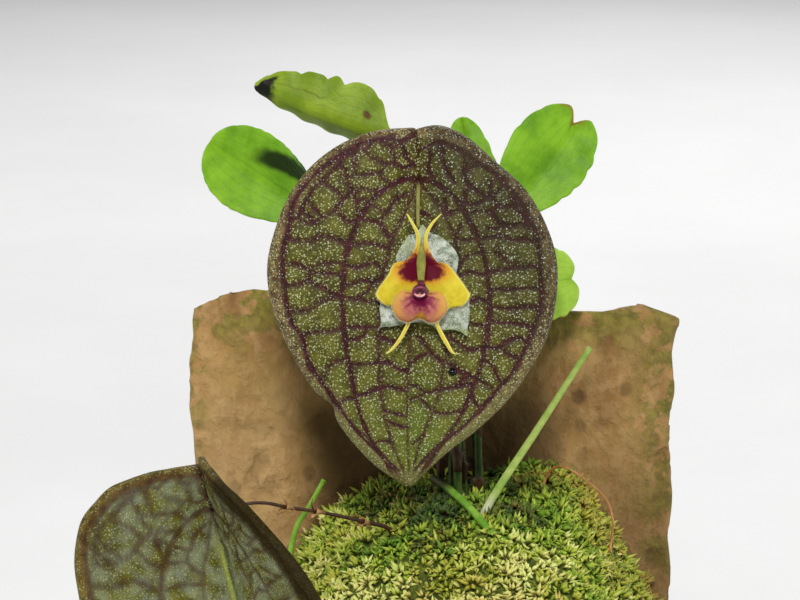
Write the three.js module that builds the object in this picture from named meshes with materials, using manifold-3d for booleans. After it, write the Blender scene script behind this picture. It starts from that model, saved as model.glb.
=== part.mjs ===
// A small net-leaved orchid growing on moss and a slab of bark in a slatted wood basket.
// Units are millimetres, +Z is up and the basket's underside lies at z = 0.

import * as THREE from 'three';
import { mergeVertices } from 'three/addons/utils/BufferGeometryUtils.js';
import Module from 'manifold-3d';

const wasm = await Module();
wasm.setup();

// Driving dimensions of the basket.
const SLAT = 8;
const SLAT_CHAMFER = 0.7;
const WALL_AT = 38;
const SLAT_OVERHANG = 4;
const SLAT_LENGTH = 2 * (WALL_AT + SLAT / 2 + SLAT_OVERHANG);
const INNER_HALF = WALL_AT - SLAT / 2;
const TIERS = 5;
const RIM = TIERS * SLAT;
const FLOOR_TOP = 2 * SLAT;
const FLOOR_SLATS = 4;
const PIN_RADIUS = 0.9;
const PIN_HEAD_RADIUS = 2.3;
const PIN_HEAD_HEIGHT = 1;
const PIN_FOOT = 1.5;
const CLEAR = 0.3;

// Driving dimensions of the bark slab and the moss.
const SLAB_LEFT = -27.5;
const SLAB_RIGHT = 27.8;
const SLAB_FRONT = 22.7;
const SLAB_BACK = 33;
const SLAB_TOP_LEFT = 84;
const SLAB_TOP_RIGHT = 81.8;
const SLAB_CORNER = 2.4;
const SLAB_TOP_SLOPE = 3;
const SLAB_KNOB = 1.2;
const SLAB_KNOB_AT = 75.5;
const SLAB_ROUGHNESS = 0.5;
const SLAB_EDGE_WEAR = 0.8;
const SLAB_MIDDLE_X = (SLAB_LEFT + SLAB_RIGHT) / 2;
const SLAB_MIDDLE_Y = (SLAB_FRONT + SLAB_BACK) / 2;
const MOSS_HALF = WALL_AT - 1.5;
const MOSS_EDGE = RIM - 0.9;
const MOSS_PEAK = 24.6;
const MOSS_CELLS = 30;
const MOSS_LUMP = 0.75;

// Driving dimensions of the plant.
const PLANT_CENTRE = [-3.7, 4.4, 88];
const PLANT_LEAN = 75;
const LEAF_THICK = 0.8;
const MARGIN_THICK = 0.7;
const VEIN_RAISE = 0.2;
const RUNG_RAISE = 0.15;
const MARGIN_ROLL = 0.9;
const GREEN_THICK = 0.7;
const PETAL_THICK = 0.6;
const LEAF_MAIN_AT = [1.97, 12.77, 0];
const LEAF_LOW_AT = [-19.3, -21.5, 12];

const degrees = THREE.MathUtils.degToRad;
const smoothstep = THREE.MathUtils.smoothstep;
const clamp = THREE.MathUtils.clamp;
const lerp = THREE.MathUtils.lerp;

// Colours and finishes.
function finish(color, roughness) {
  return new THREE.MeshStandardMaterial({ color, roughness, metalness: 0 });
}

const paint = {
  slat: () => finish(0x9a7a55, 0.75),
  pin: () => new THREE.MeshStandardMaterial({ color: 0xa8a8a4, roughness: 0.35, metalness: 1 }),
  bark: () => finish(0x7c5a3c, 0.95),
  moss: () => finish(0xa7b25a, 0.95),
  netLeaf: () => finish(0x5d5a35, 0.6),
  greenLeaf: () => finish(0x86b83a, 0.5),
  stem: () => finish(0x6f8a3a, 0.55),
  dryStem: () => finish(0x5b4636, 0.7),
  sepal: () => finish(0xd8d8cc, 0.5),
  petal: () => finish(0xe2b53a, 0.45),
  lip: () => finish(0xdb8f5a, 0.45),
  column: () => finish(0xa9ae3c, 0.45),
  cap: () => finish(0x8c2a5c, 0.4),
};

const model = new THREE.Group();
const plant = new THREE.Group();
plant.position.set(...PLANT_CENTRE);
plant.rotation.x = degrees(PLANT_LEAN);
model.add(plant);

// Every mesh is one closed body with a plain name.
function addPiece(parent, name, geometry, material) {
  const mesh = new THREE.Mesh(geometry, material);
  mesh.name = name;
  parent.add(mesh);
  return mesh;
}

// Merges shared vertices and drops the triangles that a pole flattens.
function cleaned(geometry) {
  geometry.deleteAttribute('normal');
  geometry.deleteAttribute('uv');
  const merged = mergeVertices(geometry, 1e-4);
  const index = merged.getIndex().array;
  const kept = [];
  for (let i = 0; i < index.length; i += 3) {
    const [a, b, c] = [index[i], index[i + 1], index[i + 2]];
    if (a !== b && b !== c && a !== c) {
      kept.push(a, b, c);
    }
  }
  merged.setIndex(kept);
  merged.computeVertexNormals();
  return merged;
}

function geometryFrom(points, triangles) {
  const geometry = new THREE.BufferGeometry().setFromPoints(points);
  geometry.setIndex(triangles);
  return cleaned(geometry);
}

function toSolid(geometry) {
  return new wasm.Manifold(new wasm.Mesh({
    numProp: 3,
    vertProperties: Float32Array.from(geometry.getAttribute('position').array),
    triVerts: Uint32Array.from(geometry.getIndex().array),
  }));
}

// Keeps the largest body of a cut solid, so that no loose scrap is left.
function fromSolid(solid) {
  const bodies = solid.decompose();
  bodies.sort((a, b) => b.volume() - a.volume());
  const mesh = bodies[0].getMesh();
  const geometry = new THREE.BufferGeometry();
  geometry.setAttribute('position', new THREE.BufferAttribute(mesh.vertProperties, 3));
  geometry.setIndex(Array.from(mesh.triVerts));
  return cleaned(geometry);
}

// A sheet with a front and a back face, closed by a rim all round.
// middle(i, j) gives a point; front and back give distances from it along the surface's normal.
function sheet(rows, columns, middle, front, back) {
  const grid = [];
  for (let i = 0; i <= rows; i += 1) {
    grid.push([]);
    for (let j = 0; j <= columns; j += 1) {
      grid[i].push(middle(i, j));
    }
  }
  const normalAt = (i, j) => {
    const down = grid[Math.min(i + 1, rows)][j].clone().sub(grid[Math.max(i - 1, 0)][j]);
    const row = i === 0 ? 1 : i === rows ? rows - 1 : i;
    const across = grid[row][Math.min(j + 1, columns)].clone().sub(grid[row][Math.max(j - 1, 0)]);
    return down.cross(across).normalize();
  };
  const poleNormal = (row) => normalAt(row, Math.round(columns / 2));
  const points = [];
  for (const side of [0, 1]) {
    for (let i = 0; i <= rows; i += 1) {
      for (let j = 0; j <= columns; j += 1) {
        const isPole = grid[i][0].distanceTo(grid[i][columns]) < 1e-6;
        const normal = isPole ? poleNormal(i) : normalAt(i, j);
        const offset = side === 0 ? front(i, j) : -back(i, j);
        points.push(grid[i][j].clone().addScaledVector(normal, offset));
      }
    }
  }
  const at = (side, i, j) => side * (rows + 1) * (columns + 1) + i * (columns + 1) + j;
  const triangles = [];
  const quad = (a, b, c, d) => triangles.push(a, b, c, a, c, d);
  for (let i = 0; i < rows; i += 1) {
    for (let j = 0; j < columns; j += 1) {
      quad(at(0, i, j), at(0, i + 1, j), at(0, i + 1, j + 1), at(0, i, j + 1));
      triangles.push(at(1, i, j), at(1, i + 1, j + 1), at(1, i + 1, j));
      triangles.push(at(1, i, j), at(1, i, j + 1), at(1, i + 1, j + 1));
    }
    quad(at(1, i, 0), at(1, i + 1, 0), at(0, i + 1, 0), at(0, i, 0));
    quad(at(0, i, columns), at(0, i + 1, columns), at(1, i + 1, columns), at(1, i, columns));
  }
  for (let j = 0; j < columns; j += 1) {
    quad(at(1, 0, j), at(0, 0, j), at(0, 0, j + 1), at(1, 0, j + 1));
    quad(at(0, rows, j), at(1, rows, j), at(1, rows, j + 1), at(0, rows, j + 1));
  }
  return geometryFrom(points, triangles);
}

// A tube whose radius may change along its curve, closed by a fan at each end.
function tube(curve, steps, sides, radiusAt) {
  const frames = curve.computeFrenetFrames(steps);
  const points = [];
  const triangles = [];
  for (let i = 0; i <= steps; i += 1) {
    const centre = curve.getPointAt(i / steps);
    const radius = radiusAt(i / steps);
    for (let k = 0; k < sides; k += 1) {
      const angle = (2 * Math.PI * k) / sides;
      const point = centre.clone();
      point.addScaledVector(frames.normals[i], radius * Math.cos(angle));
      point.addScaledVector(frames.binormals[i], radius * Math.sin(angle));
      points.push(point);
    }
  }
  for (let i = 0; i < steps; i += 1) {
    for (let k = 0; k < sides; k += 1) {
      const [a, b] = [i * sides + k, i * sides + (k + 1) % sides];
      triangles.push(a, b, b + sides, a, b + sides, a + sides);
    }
  }
  for (let k = 1; k < sides - 1; k += 1) {
    const last = steps * sides;
    triangles.push(0, k + 1, k, last, last + k, last + k + 1);
  }
  return geometryFrom(points, triangles);
}

function curveThrough(points) {
  return new THREE.CatmullRomCurve3(points.map((p) => new THREE.Vector3(...p)), false, 'centripetal');
}

// A smooth outline in the leaf's own plane, given by a few points.
function flatCurve(points) {
  return curveThrough(points.map(([x, y]) => [x, y, 0]));
}

// A plate whose outline is star-shaped round its centre, crowned by the height rule.
function plate(centre, outline, rings, around, heightAt, thick) {
  const edge = new THREE.CatmullRomCurve3(outline.map(([x, y]) => new THREE.Vector3(x, y, 0)), true);
  const points = [];
  const triangles = [];
  const hub = new THREE.Vector3(centre[0], centre[1], 0);
  for (const side of [0.5, -0.5]) {
    const start = points.length;
    points.push(new THREE.Vector3(hub.x, hub.y, heightAt(hub.x, hub.y, 0) + side * thick));
    for (let i = 1; i <= rings; i += 1) {
      for (let k = 0; k < around; k += 1) {
        const spot = hub.clone().lerp(edge.getPoint(k / around), i / rings);
        spot.z = heightAt(spot.x, spot.y, i / rings) + side * thick;
        points.push(spot);
      }
    }
    const at = (i, k) => start + 1 + (i - 1) * around + (k % around);
    const face = (a, b, c) => triangles.push(...(side > 0 ? [a, b, c] : [a, c, b]));
    for (let k = 0; k < around; k += 1) {
      face(start, at(1, k), at(1, k + 1));
      for (let i = 1; i < rings; i += 1) {
        face(at(i, k), at(i + 1, k), at(i + 1, k + 1));
        face(at(i, k), at(i + 1, k + 1), at(i, k + 1));
      }
    }
  }
  const half = points.length / 2;
  const rim = (k) => 1 + (rings - 1) * around + (k % around);
  for (let k = 0; k < around; k += 1) {
    triangles.push(rim(k), rim(k) + half, rim(k + 1) + half);
    triangles.push(rim(k), rim(k + 1) + half, rim(k + 1));
  }
  return geometryFrom(points, triangles);
}

// Basket: bars with chamfered edges laid crosswise, and the pins through their ends.
function barSection() {
  const h = SLAT / 2;
  const c = SLAT_CHAMFER;
  const shape = new THREE.Shape();
  shape.moveTo(-h + c, -h);
  shape.lineTo(h - c, -h);
  shape.lineTo(h, -h + c);
  shape.lineTo(h, h - c);
  shape.lineTo(h - c, h);
  shape.lineTo(-h + c, h);
  shape.lineTo(-h, h - c);
  shape.lineTo(-h, -h + c);
  shape.closePath();
  return shape;
}

function barAlong(axis, length) {
  const geometry = new THREE.ExtrudeGeometry(barSection(), { depth: length, bevelEnabled: false });
  geometry.translate(0, 0, -length / 2);
  if (axis === 'x') {
    geometry.rotateY(Math.PI / 2);
  } else {
    geometry.rotateX(Math.PI / 2);
  }
  return cleaned(geometry);
}

function drilled(geometry, axis) {
  let solid = toSolid(geometry);
  for (const end of [-WALL_AT, WALL_AT]) {
    const drill = new THREE.CylinderGeometry(PIN_RADIUS + CLEAR, PIN_RADIUS + CLEAR, 2 * SLAT, 8);
    drill.rotateX(Math.PI / 2);
    drill.translate(axis === 'x' ? end : 0, axis === 'x' ? 0 : end, 0);
    solid = solid.subtract(toSolid(cleaned(drill)));
  }
  return fromSolid(solid);
}

function basketBars() {
  const bars = [];
  const middleOf = (tier) => (tier + 0.5) * SLAT;
  for (let tier = 0; tier < TIERS; tier += 1) {
    const axis = tier % 2 === 0 ? 'x' : 'y';
    for (const side of [-1, 1]) {
      const where = side < 0 ? (axis === 'x' ? 'front' : 'left') : (axis === 'x' ? 'back' : 'right');
      bars.push({ name: `wall_${where}_${tier + 1}`, axis, across: side * WALL_AT, z: middleOf(tier) });
    }
  }
  bars.push({ name: 'runner_middle', axis: 'x', across: 0, z: middleOf(0), plain: true });
  const pitch = (2 * INNER_HALF + SLAT) / (FLOOR_SLATS + 1);
  for (let i = 0; i < FLOOR_SLATS; i += 1) {
    const across = (i - (FLOOR_SLATS - 1) / 2) * pitch;
    bars.push({ name: `floor_slat_${i + 1}`, axis: 'y', across, z: middleOf(1), plain: true });
  }
  return bars;
}

function addBasket() {
  for (const bar of basketBars()) {
    const blank = barAlong(bar.axis, SLAT_LENGTH);
    const geometry = bar.plain ? blank : drilled(blank, bar.axis);
    const mesh = addPiece(model, bar.name, geometry, paint.slat());
    mesh.position.set(bar.axis === 'y' ? bar.across : 0, bar.axis === 'x' ? bar.across : 0, bar.z);
  }
  const neck = RIM + CLEAR;
  const profile = [
    [0, PIN_FOOT],
    [PIN_RADIUS, PIN_FOOT],
    [PIN_RADIUS, neck],
    [PIN_HEAD_RADIUS, neck],
    [PIN_HEAD_RADIUS * 0.8, neck + PIN_HEAD_HEIGHT * 0.7],
    [0, neck + PIN_HEAD_HEIGHT],
  ];
  for (const [place, x, y] of [
    ['front_left', -1, -1], ['front_right', 1, -1], ['back_left', -1, 1], ['back_right', 1, 1],
  ]) {
    const geometry = new THREE.LatheGeometry(profile.map(([r, z]) => new THREE.Vector2(r, z)), 8);
    geometry.rotateX(Math.PI / 2);
    const mesh = addPiece(model, `pin_${place}`, cleaned(geometry), paint.pin());
    mesh.position.set(x * WALL_AT, y * WALL_AT, 0);
  }
}

// Bark slab: a block with a worn outline and a rough skin.
function slabSkin(x, z) {
  const broad = Math.sin(0.31 * x + 1.7 * Math.sin(0.13 * z)) * Math.cos(0.23 * z + 0.4);
  const fine = Math.sin(0.9 * x + 0.5 * z) * Math.cos(0.7 * z - 0.6 * x);
  return 0.55 * broad + 0.45 * fine;
}

// Moves one point of the plain block to the worn outline; grow makes the block larger all round.
function wornPoint(x, y, z, grow) {
  const bottom = FLOOR_TOP + CLEAR;
  const upness = (z - bottom) / (SLAB_TOP_LEFT - bottom);
  const side = (x - SLAB_MIDDLE_X) / ((SLAB_RIGHT - SLAB_LEFT) / 2);
  const deep = (y - SLAB_MIDDLE_Y) / ((SLAB_BACK - SLAB_FRONT) / 2);
  const flank = Math.abs(side) ** 8;
  const knob = side < 0 ? SLAB_KNOB * Math.exp(-(((z - SLAB_KNOB_AT) / 2.6) ** 2)) : 0;
  const inward = 0.7 * (0.5 + 0.5 * Math.sin(0.55 * z + 2 * side));
  const rough = SLAB_ROUGHNESS * slabSkin(x, z) * deep * deep * (deep > 0 ? 0.8 : 1);
  const worn = SLAB_EDGE_WEAR * Math.abs(deep) * Math.max(Math.abs(side) ** 10, upness ** 24);
  const newX = x - Math.sign(side) * flank * (inward - knob - grow);
  const newY = y - Math.sign(deep) * (rough + worn) + grow * deep;
  if (z < bottom + 0.1) {
    return [newX, newY, z - grow];
  }
  const lower = lerp(0, SLAB_TOP_LEFT - SLAB_TOP_RIGHT, (side + 1) / 2);
  const round = SLAB_CORNER * (1 - Math.sqrt(1 - 0.75 * Math.abs(side) ** 14));
  const crest = 0.5 * Math.sin(0.42 * newX + 1) + 0.35 * Math.sin(1.1 * newX);
  const slope = SLAB_TOP_SLOPE * (0.5 + 0.5 * deep);
  return [newX, newY, z - (lower + round + crest + slope - grow) * upness ** 3];
}

function slabGeometry(grow) {
  const bottom = FLOOR_TOP + CLEAR;
  const size = [SLAB_RIGHT - SLAB_LEFT, SLAB_BACK - SLAB_FRONT, SLAB_TOP_LEFT - bottom];
  const geometry = new THREE.BoxGeometry(...size, 12, 2, 14);
  geometry.translate(SLAB_MIDDLE_X, SLAB_MIDDLE_Y, (bottom + SLAB_TOP_LEFT) / 2);
  const position = geometry.getAttribute('position');
  for (let i = 0; i < position.count; i += 1) {
    const point = [position.getX(i), position.getY(i), position.getZ(i)];
    position.setXYZ(i, ...wornPoint(...point, grow));
  }
  return cleaned(geometry);
}

// Moss: a lumpy cushion that fills the basket and climbs to the slab.
function mossHeight(x, y) {
  const left = smoothstep(x, -INNER_HALF, 0);
  const right = 1 - smoothstep(x, 12, INNER_HALF);
  const front = smoothstep(y, -INNER_HALF - 3, 6);
  const back = 1 - smoothstep(y, SLAB_FRONT + 3, SLAB_BACK - 1);
  const swell = left * right * front * back;
  const slow = 1.3 * Math.sin(0.21 * x + 0.9) * Math.cos(0.17 * y) * swell;
  const tuft = Math.sin(1.13 * x + 0.8 * Math.sin(0.5 * y)) * Math.sin(1.21 * y + 0.7 * Math.cos(0.6 * x));
  return MOSS_EDGE + MOSS_PEAK * swell + slow + MOSS_LUMP * tuft * (0.35 + 0.65 * swell);
}

function mossBlock() {
  const bottom = FLOOR_TOP + CLEAR;
  const size = 2 * MOSS_HALF;
  const geometry = new THREE.BoxGeometry(size, size, 1, MOSS_CELLS, MOSS_CELLS, 1);
  const position = geometry.getAttribute('position');
  for (let i = 0; i < position.count; i += 1) {
    const [x, y] = [position.getX(i), position.getY(i)];
    position.setZ(i, position.getZ(i) > 0 ? mossHeight(x, y) : bottom);
  }
  return cleaned(geometry);
}

function boxSolid(low, high) {
  const geometry = new THREE.BoxGeometry(high[0] - low[0], high[1] - low[1], high[2] - low[2]);
  geometry.translate((low[0] + high[0]) / 2, (low[1] + high[1]) / 2, (low[2] + high[2]) / 2);
  return toSolid(cleaned(geometry));
}

function addMoss(stemHoles) {
  let solid = toSolid(mossBlock());
  const half = SLAT / 2 + CLEAR;
  const reach = SLAT_LENGTH;
  const above = 2 * RIM + SLAT;
  for (const bar of basketBars()) {
    const onTop = bar.z + SLAT > RIM;
    const high = onTop ? above : bar.z + half;
    const low = [bar.across - half, -reach, bar.z - half];
    const top = [bar.across + half, reach, high];
    const alongX = bar.axis === 'x';
    const swap = ([a, b, c]) => (alongX ? [b, a, c] : [a, b, c]);
    solid = solid.subtract(boxSolid(swap(low), swap(top)));
  }
  for (const side of [-1, 1]) {
    const inner = side * (INNER_HALF - CLEAR);
    const outer = side * reach;
    solid = solid.subtract(boxSolid(
      [Math.min(inner, outer), -reach, RIM + CLEAR], [Math.max(inner, outer), reach, above]));
  }
  solid = solid.subtract(toSolid(slabGeometry(CLEAR)));
  solid = solid.subtract(boxSolid([SLAB_LEFT, SLAB_MIDDLE_Y, 0], [SLAB_RIGHT, reach, above]));
  for (const hole of stemHoles) {
    solid = solid.subtract(hole);
  }
  addPiece(model, 'moss', fromSolid(solid), paint.moss());
}

// Net leaf: curves run from the leaf stalk to the tip, in millimetres from the stalk.
const NET_EDGE_LEFT = [
  [-0.5, 5.3], [-5.1, 4.8], [-9.6, 2.6], [-13.1, -1.1], [-15.3, -6.5], [-15.8, -9.8], [-15.2, -13.7],
  [-13.4, -18], [-10.8, -22.2], [-8.8, -23.9], [-8.4, -25.4], [-4.8, -29.8], [-1, -32.5],
];
const NET_EDGE_RIGHT = [
  [-0.1, 5.2], [2.2, 5.5], [4.7, 4.5], [8, 1.7], [11.3, -1.4], [13.8, -6.2], [14.5, -10], [13.7, -15.7],
  [11.8, -19.7], [9, -23.5], [5.2, -27], [3.8, -28], [2, -29.5], [-1, -32.5],
];
const LOW_EDGE_LEFT = [
  [-0.9, 4.9], [-3.1, 5.2], [-5.2, 5.4], [-7.4, 5.3], [-9.5, 5], [-11.2, 4], [-12.9, 2.7], [-14.1, 0.6],
  [-14.9, -1.6], [-15.3, -4.4], [-15.5, -8], [-15.1, -12.5], [-13.6, -17.5], [-11, -22], [-8.4, -25.4],
  [-4.8, -29.8], [-1, -32.5],
];
const LOW_EDGE_RIGHT = [[1.8, 4.9], ...NET_EDGE_RIGHT.slice(1)];
const NET_MAIN_LEFT = [
  [0, 0], [-1.4, 0.1], [-3.7, -1.1], [-5.9, -3.5], [-7.3, -6.8], [-8, -10.3], [-8, -14.9], [-7.2, -20.5],
  [-5.7, -26.2], [-3.4, -30], [-1, -32.5],
];
const NET_MAIN_RIGHT = [
  [0, 0], [1.1, 0], [3.7, -1.8], [5.6, -4.9], [6.9, -8.1], [7.5, -12.5], [7.3, -16.5], [6.1, -21.3],
  [4, -25.8], [1.2, -29.6], [-1, -32.5],
];
const NET_INNER_LEFT = [
  [0, 0], [-1.7, -3.9], [-2.9, -6.5], [-3.8, -11], [-4.2, -16], [-4, -22], [-3, -27.5], [-1, -32.5],
];
const NET_INNER_RIGHT = [
  [0, 0], [2.7, -3.7], [4.2, -8], [3.9, -13], [2.9, -18.5], [1.9, -23.5], [0.3, -27.8], [-1, -32.5],
];
const NET_MIDRIB = [[0, 0], [-0.6, -10], [-1, -18], [-1.3, -26], [-1, -32.5]];
const MARGIN_VEIN_AT = 0.84;
const SEAM_ROWS = 2;

// The seam side of each half goes straight up from the stalk before the edge turns outward.
function edgeCurve(edge) {
  const path = new THREE.CurvePath();
  path.add(new THREE.LineCurve3(new THREE.Vector3(0, 0, 0), new THREE.Vector3(edge[0][0], edge[0][1], 0)));
  path.add(flatCurve(edge));
  return path;
}

function netColumns(rows, edgePoints) {
  const edges = edgePoints.map(edgeCurve);
  const mains = [flatCurve(NET_MAIN_LEFT), flatCurve(NET_MAIN_RIGHT)];
  const inners = [flatCurve(NET_INNER_LEFT), flatCurve(NET_INNER_RIGHT)];
  const midrib = flatCurve(NET_MIDRIB);
  const edgeAt = (side, i) => {
    const seam = Math.hypot(...edgePoints[side][0]);
    const part = seam / edges[side].getLength();
    const along = i <= SEAM_ROWS ? (part * i) / SEAM_ROWS
      : part + (1 - part) * ((i - SEAM_ROWS) / (rows - SEAM_ROWS)) ** 0.92;
    return edges[side].getPointAt(Math.min(along, 1));
  };
  const veinAt = (curve, i, power) => curve.getPointAt((i / rows) ** power);
  const between = (a, b, t) => a.clone().lerp(b, t);
  const half = (side, i) => {
    const edge = edgeAt(side, i);
    const main = veinAt(mains[side], i, 0.9);
    const inner = veinAt(inners[side], i, 1);
    const middle = veinAt(midrib, i, 1);
    return [
      edge,
      between(main, edge, MARGIN_VEIN_AT),
      between(main, edge, MARGIN_VEIN_AT * 0.67),
      between(main, edge, MARGIN_VEIN_AT * 0.34),
      main,
      between(main, inner, 0.5),
      inner,
      between(inner, middle, 0.5),
    ];
  };
  return (i) => [...half(0, i), veinAt(midrib, i, 1), ...half(1, i).reverse()];
}

// Columns run from the left edge to the right one; cross veins are staggered from lane to lane.
const NET_COLUMNS = 16;
const NET_VEIN_COLUMNS = [1, 4, 6, 8, 10, 12, 15];
const LANE_OF = [0, 0, 1, 1, 1, 2, 2, 3, 3, 4, 5, 5, 6, 6, 6, 0, 0];

// A shallow dome with a groove along the midrib, a funnel at the stalk and a rolled margin.
function netHeight(x, y, column) {
  const dome = 1.1 * (1 - (x / 17) ** 2 - ((y + 12) / 24) ** 2);
  const groove = -0.45 * Math.exp(-(((x + 0.6) / 1.3) ** 2));
  const funnel = -0.8 * Math.exp(-(x * x + y * y) / 9);
  const roll = column === 0 || column === NET_COLUMNS ? -MARGIN_ROLL : 0;
  return dome + groove + funnel + roll;
}

function netRelief(rows, i, j) {
  if (i === 0 || i === rows) {
    return 0;
  }
  if (NET_VEIN_COLUMNS.includes(j)) {
    return VEIN_RAISE;
  }
  const isRung = (i + LANE_OF[j]) % 3 === 0 && i > SEAM_ROWS && i < rows - 1;
  return isRung && LANE_OF[j] > 0 ? RUNG_RAISE : 0;
}

function netLeaf(rows, edgePoints, bend) {
  const columns = netColumns(rows, edgePoints);
  const table = [];
  for (let i = 0; i <= rows; i += 1) {
    table.push(columns(i));
  }
  const middle = (i, j) => {
    const spot = table[i][j].clone();
    spot.z = i === rows ? netHeight(spot.x, spot.y, 1) - MARGIN_ROLL : netHeight(spot.x, spot.y, j);
    if (i === 0) {
      spot.z = netHeight(0, 0, 1);
    }
    return bend(spot);
  };
  const thick = (j) => (j === 0 || j === NET_COLUMNS ? MARGIN_THICK : LEAF_THICK);
  const front = (i, j) => thick(j) / 2 + netRelief(rows, i, j);
  const back = (i, j) => thick(j) / 2;
  return sheet(rows, NET_COLUMNS, middle, front, back);
}

// The low leaf is folded along its midrib, most at the stalk and less towards the tip.
const LOW_FOLD = 74;
const LOW_FOLD_RATE = 1.4;
const LOW_LEFT_TILT = -10;
const LOW_ARCH = 0.011;
const LOW_LEAN = -8;
const LOW_TURN = 17;
const LOW_LOBE = 0.95;

function lowLeafBend(spot) {
  const crease = spot.y * 0.031;
  const across = spot.x - crease;
  const angle = across > 0
    ? degrees(clamp(LOW_FOLD + LOW_FOLD_RATE * spot.y, 14, 104)) * smoothstep(across, 0, 1.6)
    : degrees(LOW_LEFT_TILT);
  return new THREE.Vector3(
    crease + across * Math.cos(angle),
    spot.y > 0 ? LOW_LOBE * spot.y : spot.y,
    spot.z + Math.abs(across) * Math.sin(Math.abs(angle)) + LOW_ARCH * Math.min(spot.y, 0) ** 2,
  );
}

// Green leaf: a blunt blade with scalloped edges from its base to its tip.
function greenLeaf({ base, tip, halfWidth, widest, fold, arch, faceTurn }) {
  const rows = 14;
  const columns = 6;
  const from = new THREE.Vector3(...base);
  const along = new THREE.Vector3(...tip).sub(from);
  const length = along.length();
  const forward = along.clone().normalize();
  const facing = new THREE.Vector3(0, 0, 1).applyAxisAngle(forward, degrees(faceTurn));
  const sideways = new THREE.Vector3().crossVectors(forward, facing).normalize();
  const up = new THREE.Vector3().crossVectors(sideways, forward);
  const widthAt = (s) => {
    if (s < widest) {
      return lerp(0.16, 1, smoothstep(s, -0.1 * widest, widest));
    }
    return Math.sqrt(Math.max(0, 1 - ((s - widest) / (1 - widest)) ** 2));
  };
  const middle = (i, j) => {
    const s = 1 - (1 - i / rows) ** 1.5;
    const across = (2 * j) / columns - 1;
    const scallop = 1 - 0.06 * (i % 2) * smoothstep(s, 0.35, 0.6);
    const reach = across * halfWidth * widthAt(s) * scallop;
    const point = from.clone().addScaledVector(forward, s * length);
    point.addScaledVector(sideways, reach * Math.cos(degrees(fold)));
    const lift = Math.abs(reach) * Math.sin(degrees(fold)) + arch * Math.sin(Math.PI * s);
    return point.addScaledVector(up, lift);
  };
  const half = () => GREEN_THICK / 2;
  return sheet(rows, columns, middle, half, half);
}

const GREEN_LEAVES = [
  {
    name: 'left', base: [-6.1, 7.7, -13], tip: [-21.2, 17.7, -17], halfWidth: 4.6, widest: 0.66,
    fold: 14, arch: 0.8, faceTurn: 0, foot: [0.6, 11.6, 56], bow: [0, 15.6, 75],
  },
  {
    name: 'top', base: [-1.1, 17.3, -6.5], tip: [-15.7, 23.2, -8], halfWidth: 4.7, widest: 0.24,
    fold: -36, arch: 0.4, faceTurn: -36, foot: [2.2, 13.4, 56], bow: [1.6, 17.4, 80],
  },
  {
    name: 'narrow', base: [9.6, 7.4, -11], tip: [6.7, 20.1, -12], halfWidth: 2.9, widest: 0.4,
    fold: 10, arch: 0.5, faceTurn: 0, foot: [3.9, 12.4, 56], bow: [3.2, 15, 75],
  },
  {
    name: 'right', base: [9.7, 7.1, -15], tip: [20.4, 21.1, -17.5], halfWidth: 4.7, widest: 0.62,
    fold: 12, arch: 0.8, faceTurn: 0, foot: [5.2, 14.2, 56], bow: [4.6, 17.4, 74],
  },
  {
    name: 'beside', base: [10.6, 0.7, -11], tip: [19.7, 2.5, -14], halfWidth: 4, widest: 0.6,
    fold: 10, arch: 0.4, faceTurn: 0, foot: [5.4, 10.6, 56], bow: [4.9, 12.8, 71],
  },
];

// Turns a point of the plant's own frame into the basket's frame.
function inBasket(point) {
  plant.updateMatrixWorld(true);
  return new THREE.Vector3(...point).applyMatrix4(plant.matrixWorld);
}

// Dry sheaths on a stem: each flares like a small trumpet and ends abruptly.
function sheathed(radius, flare, sheaths) {
  return (s) => {
    const place = (s * sheaths) % 1;
    const grown = s > 0.97 ? 0 : smoothstep(place, 0.45, 0.95);
    return radius + flare * grown;
  };
}

// Paths in the plant's own frame, from the moss outward.
const LOW_STEM = [
  [-1.6, -24.4, -4], [-3, -24, -3], [-5.9, -23.1, 0], [-8.7, -22.4, 2], [-11.8, -21.8, 4],
  [-14.4, -21.2, 6], [-17.2, -21.4, 8.8], [-19.1, -22.2, 10.9],
];
const SHOOTS = [
  {
    name: 'shoot_long', path: [[7.2, -28, -7], [9.2, -22.9, -6], [15, -14.2, -10], [21, -5.3, -14]],
    steps: 8, sides: 6, radius: 0.46, taper: 0.12,
  },
  {
    name: 'shoot_short',
    path: [
      [3.6, -19.6, -12.6], [5.1, -20.5, -10], [7.6, -22.5, -4.6], [9.7, -24.8, -2.6], [12.1, -26.5, -2],
      [14, -29.5, -3],
    ],
    steps: 12, sides: 6, radius: 0.42, taper: 0,
  },
  {
    name: 'shoot_left',
    path: [[-12.8, -31, -19], [-11.6, -25.5, -19], [-10.1, -23, -18.6], [-8.5, -20.1, -18]],
    steps: 7, sides: 5, radius: 0.36, taper: 0.1,
  },
];

// Each stem also leaves a slightly wider hole for the moss to be cut with.
function addStem(name, curve, steps, sides, radiusAt, material, holes) {
  addPiece(model, name, tube(curve, steps, sides, radiusAt), material);
  const grown = (s) => radiusAt(s) + CLEAR + 0.1;
  holes.push(toSolid(tube(curve, steps, sides, grown)));
}

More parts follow.
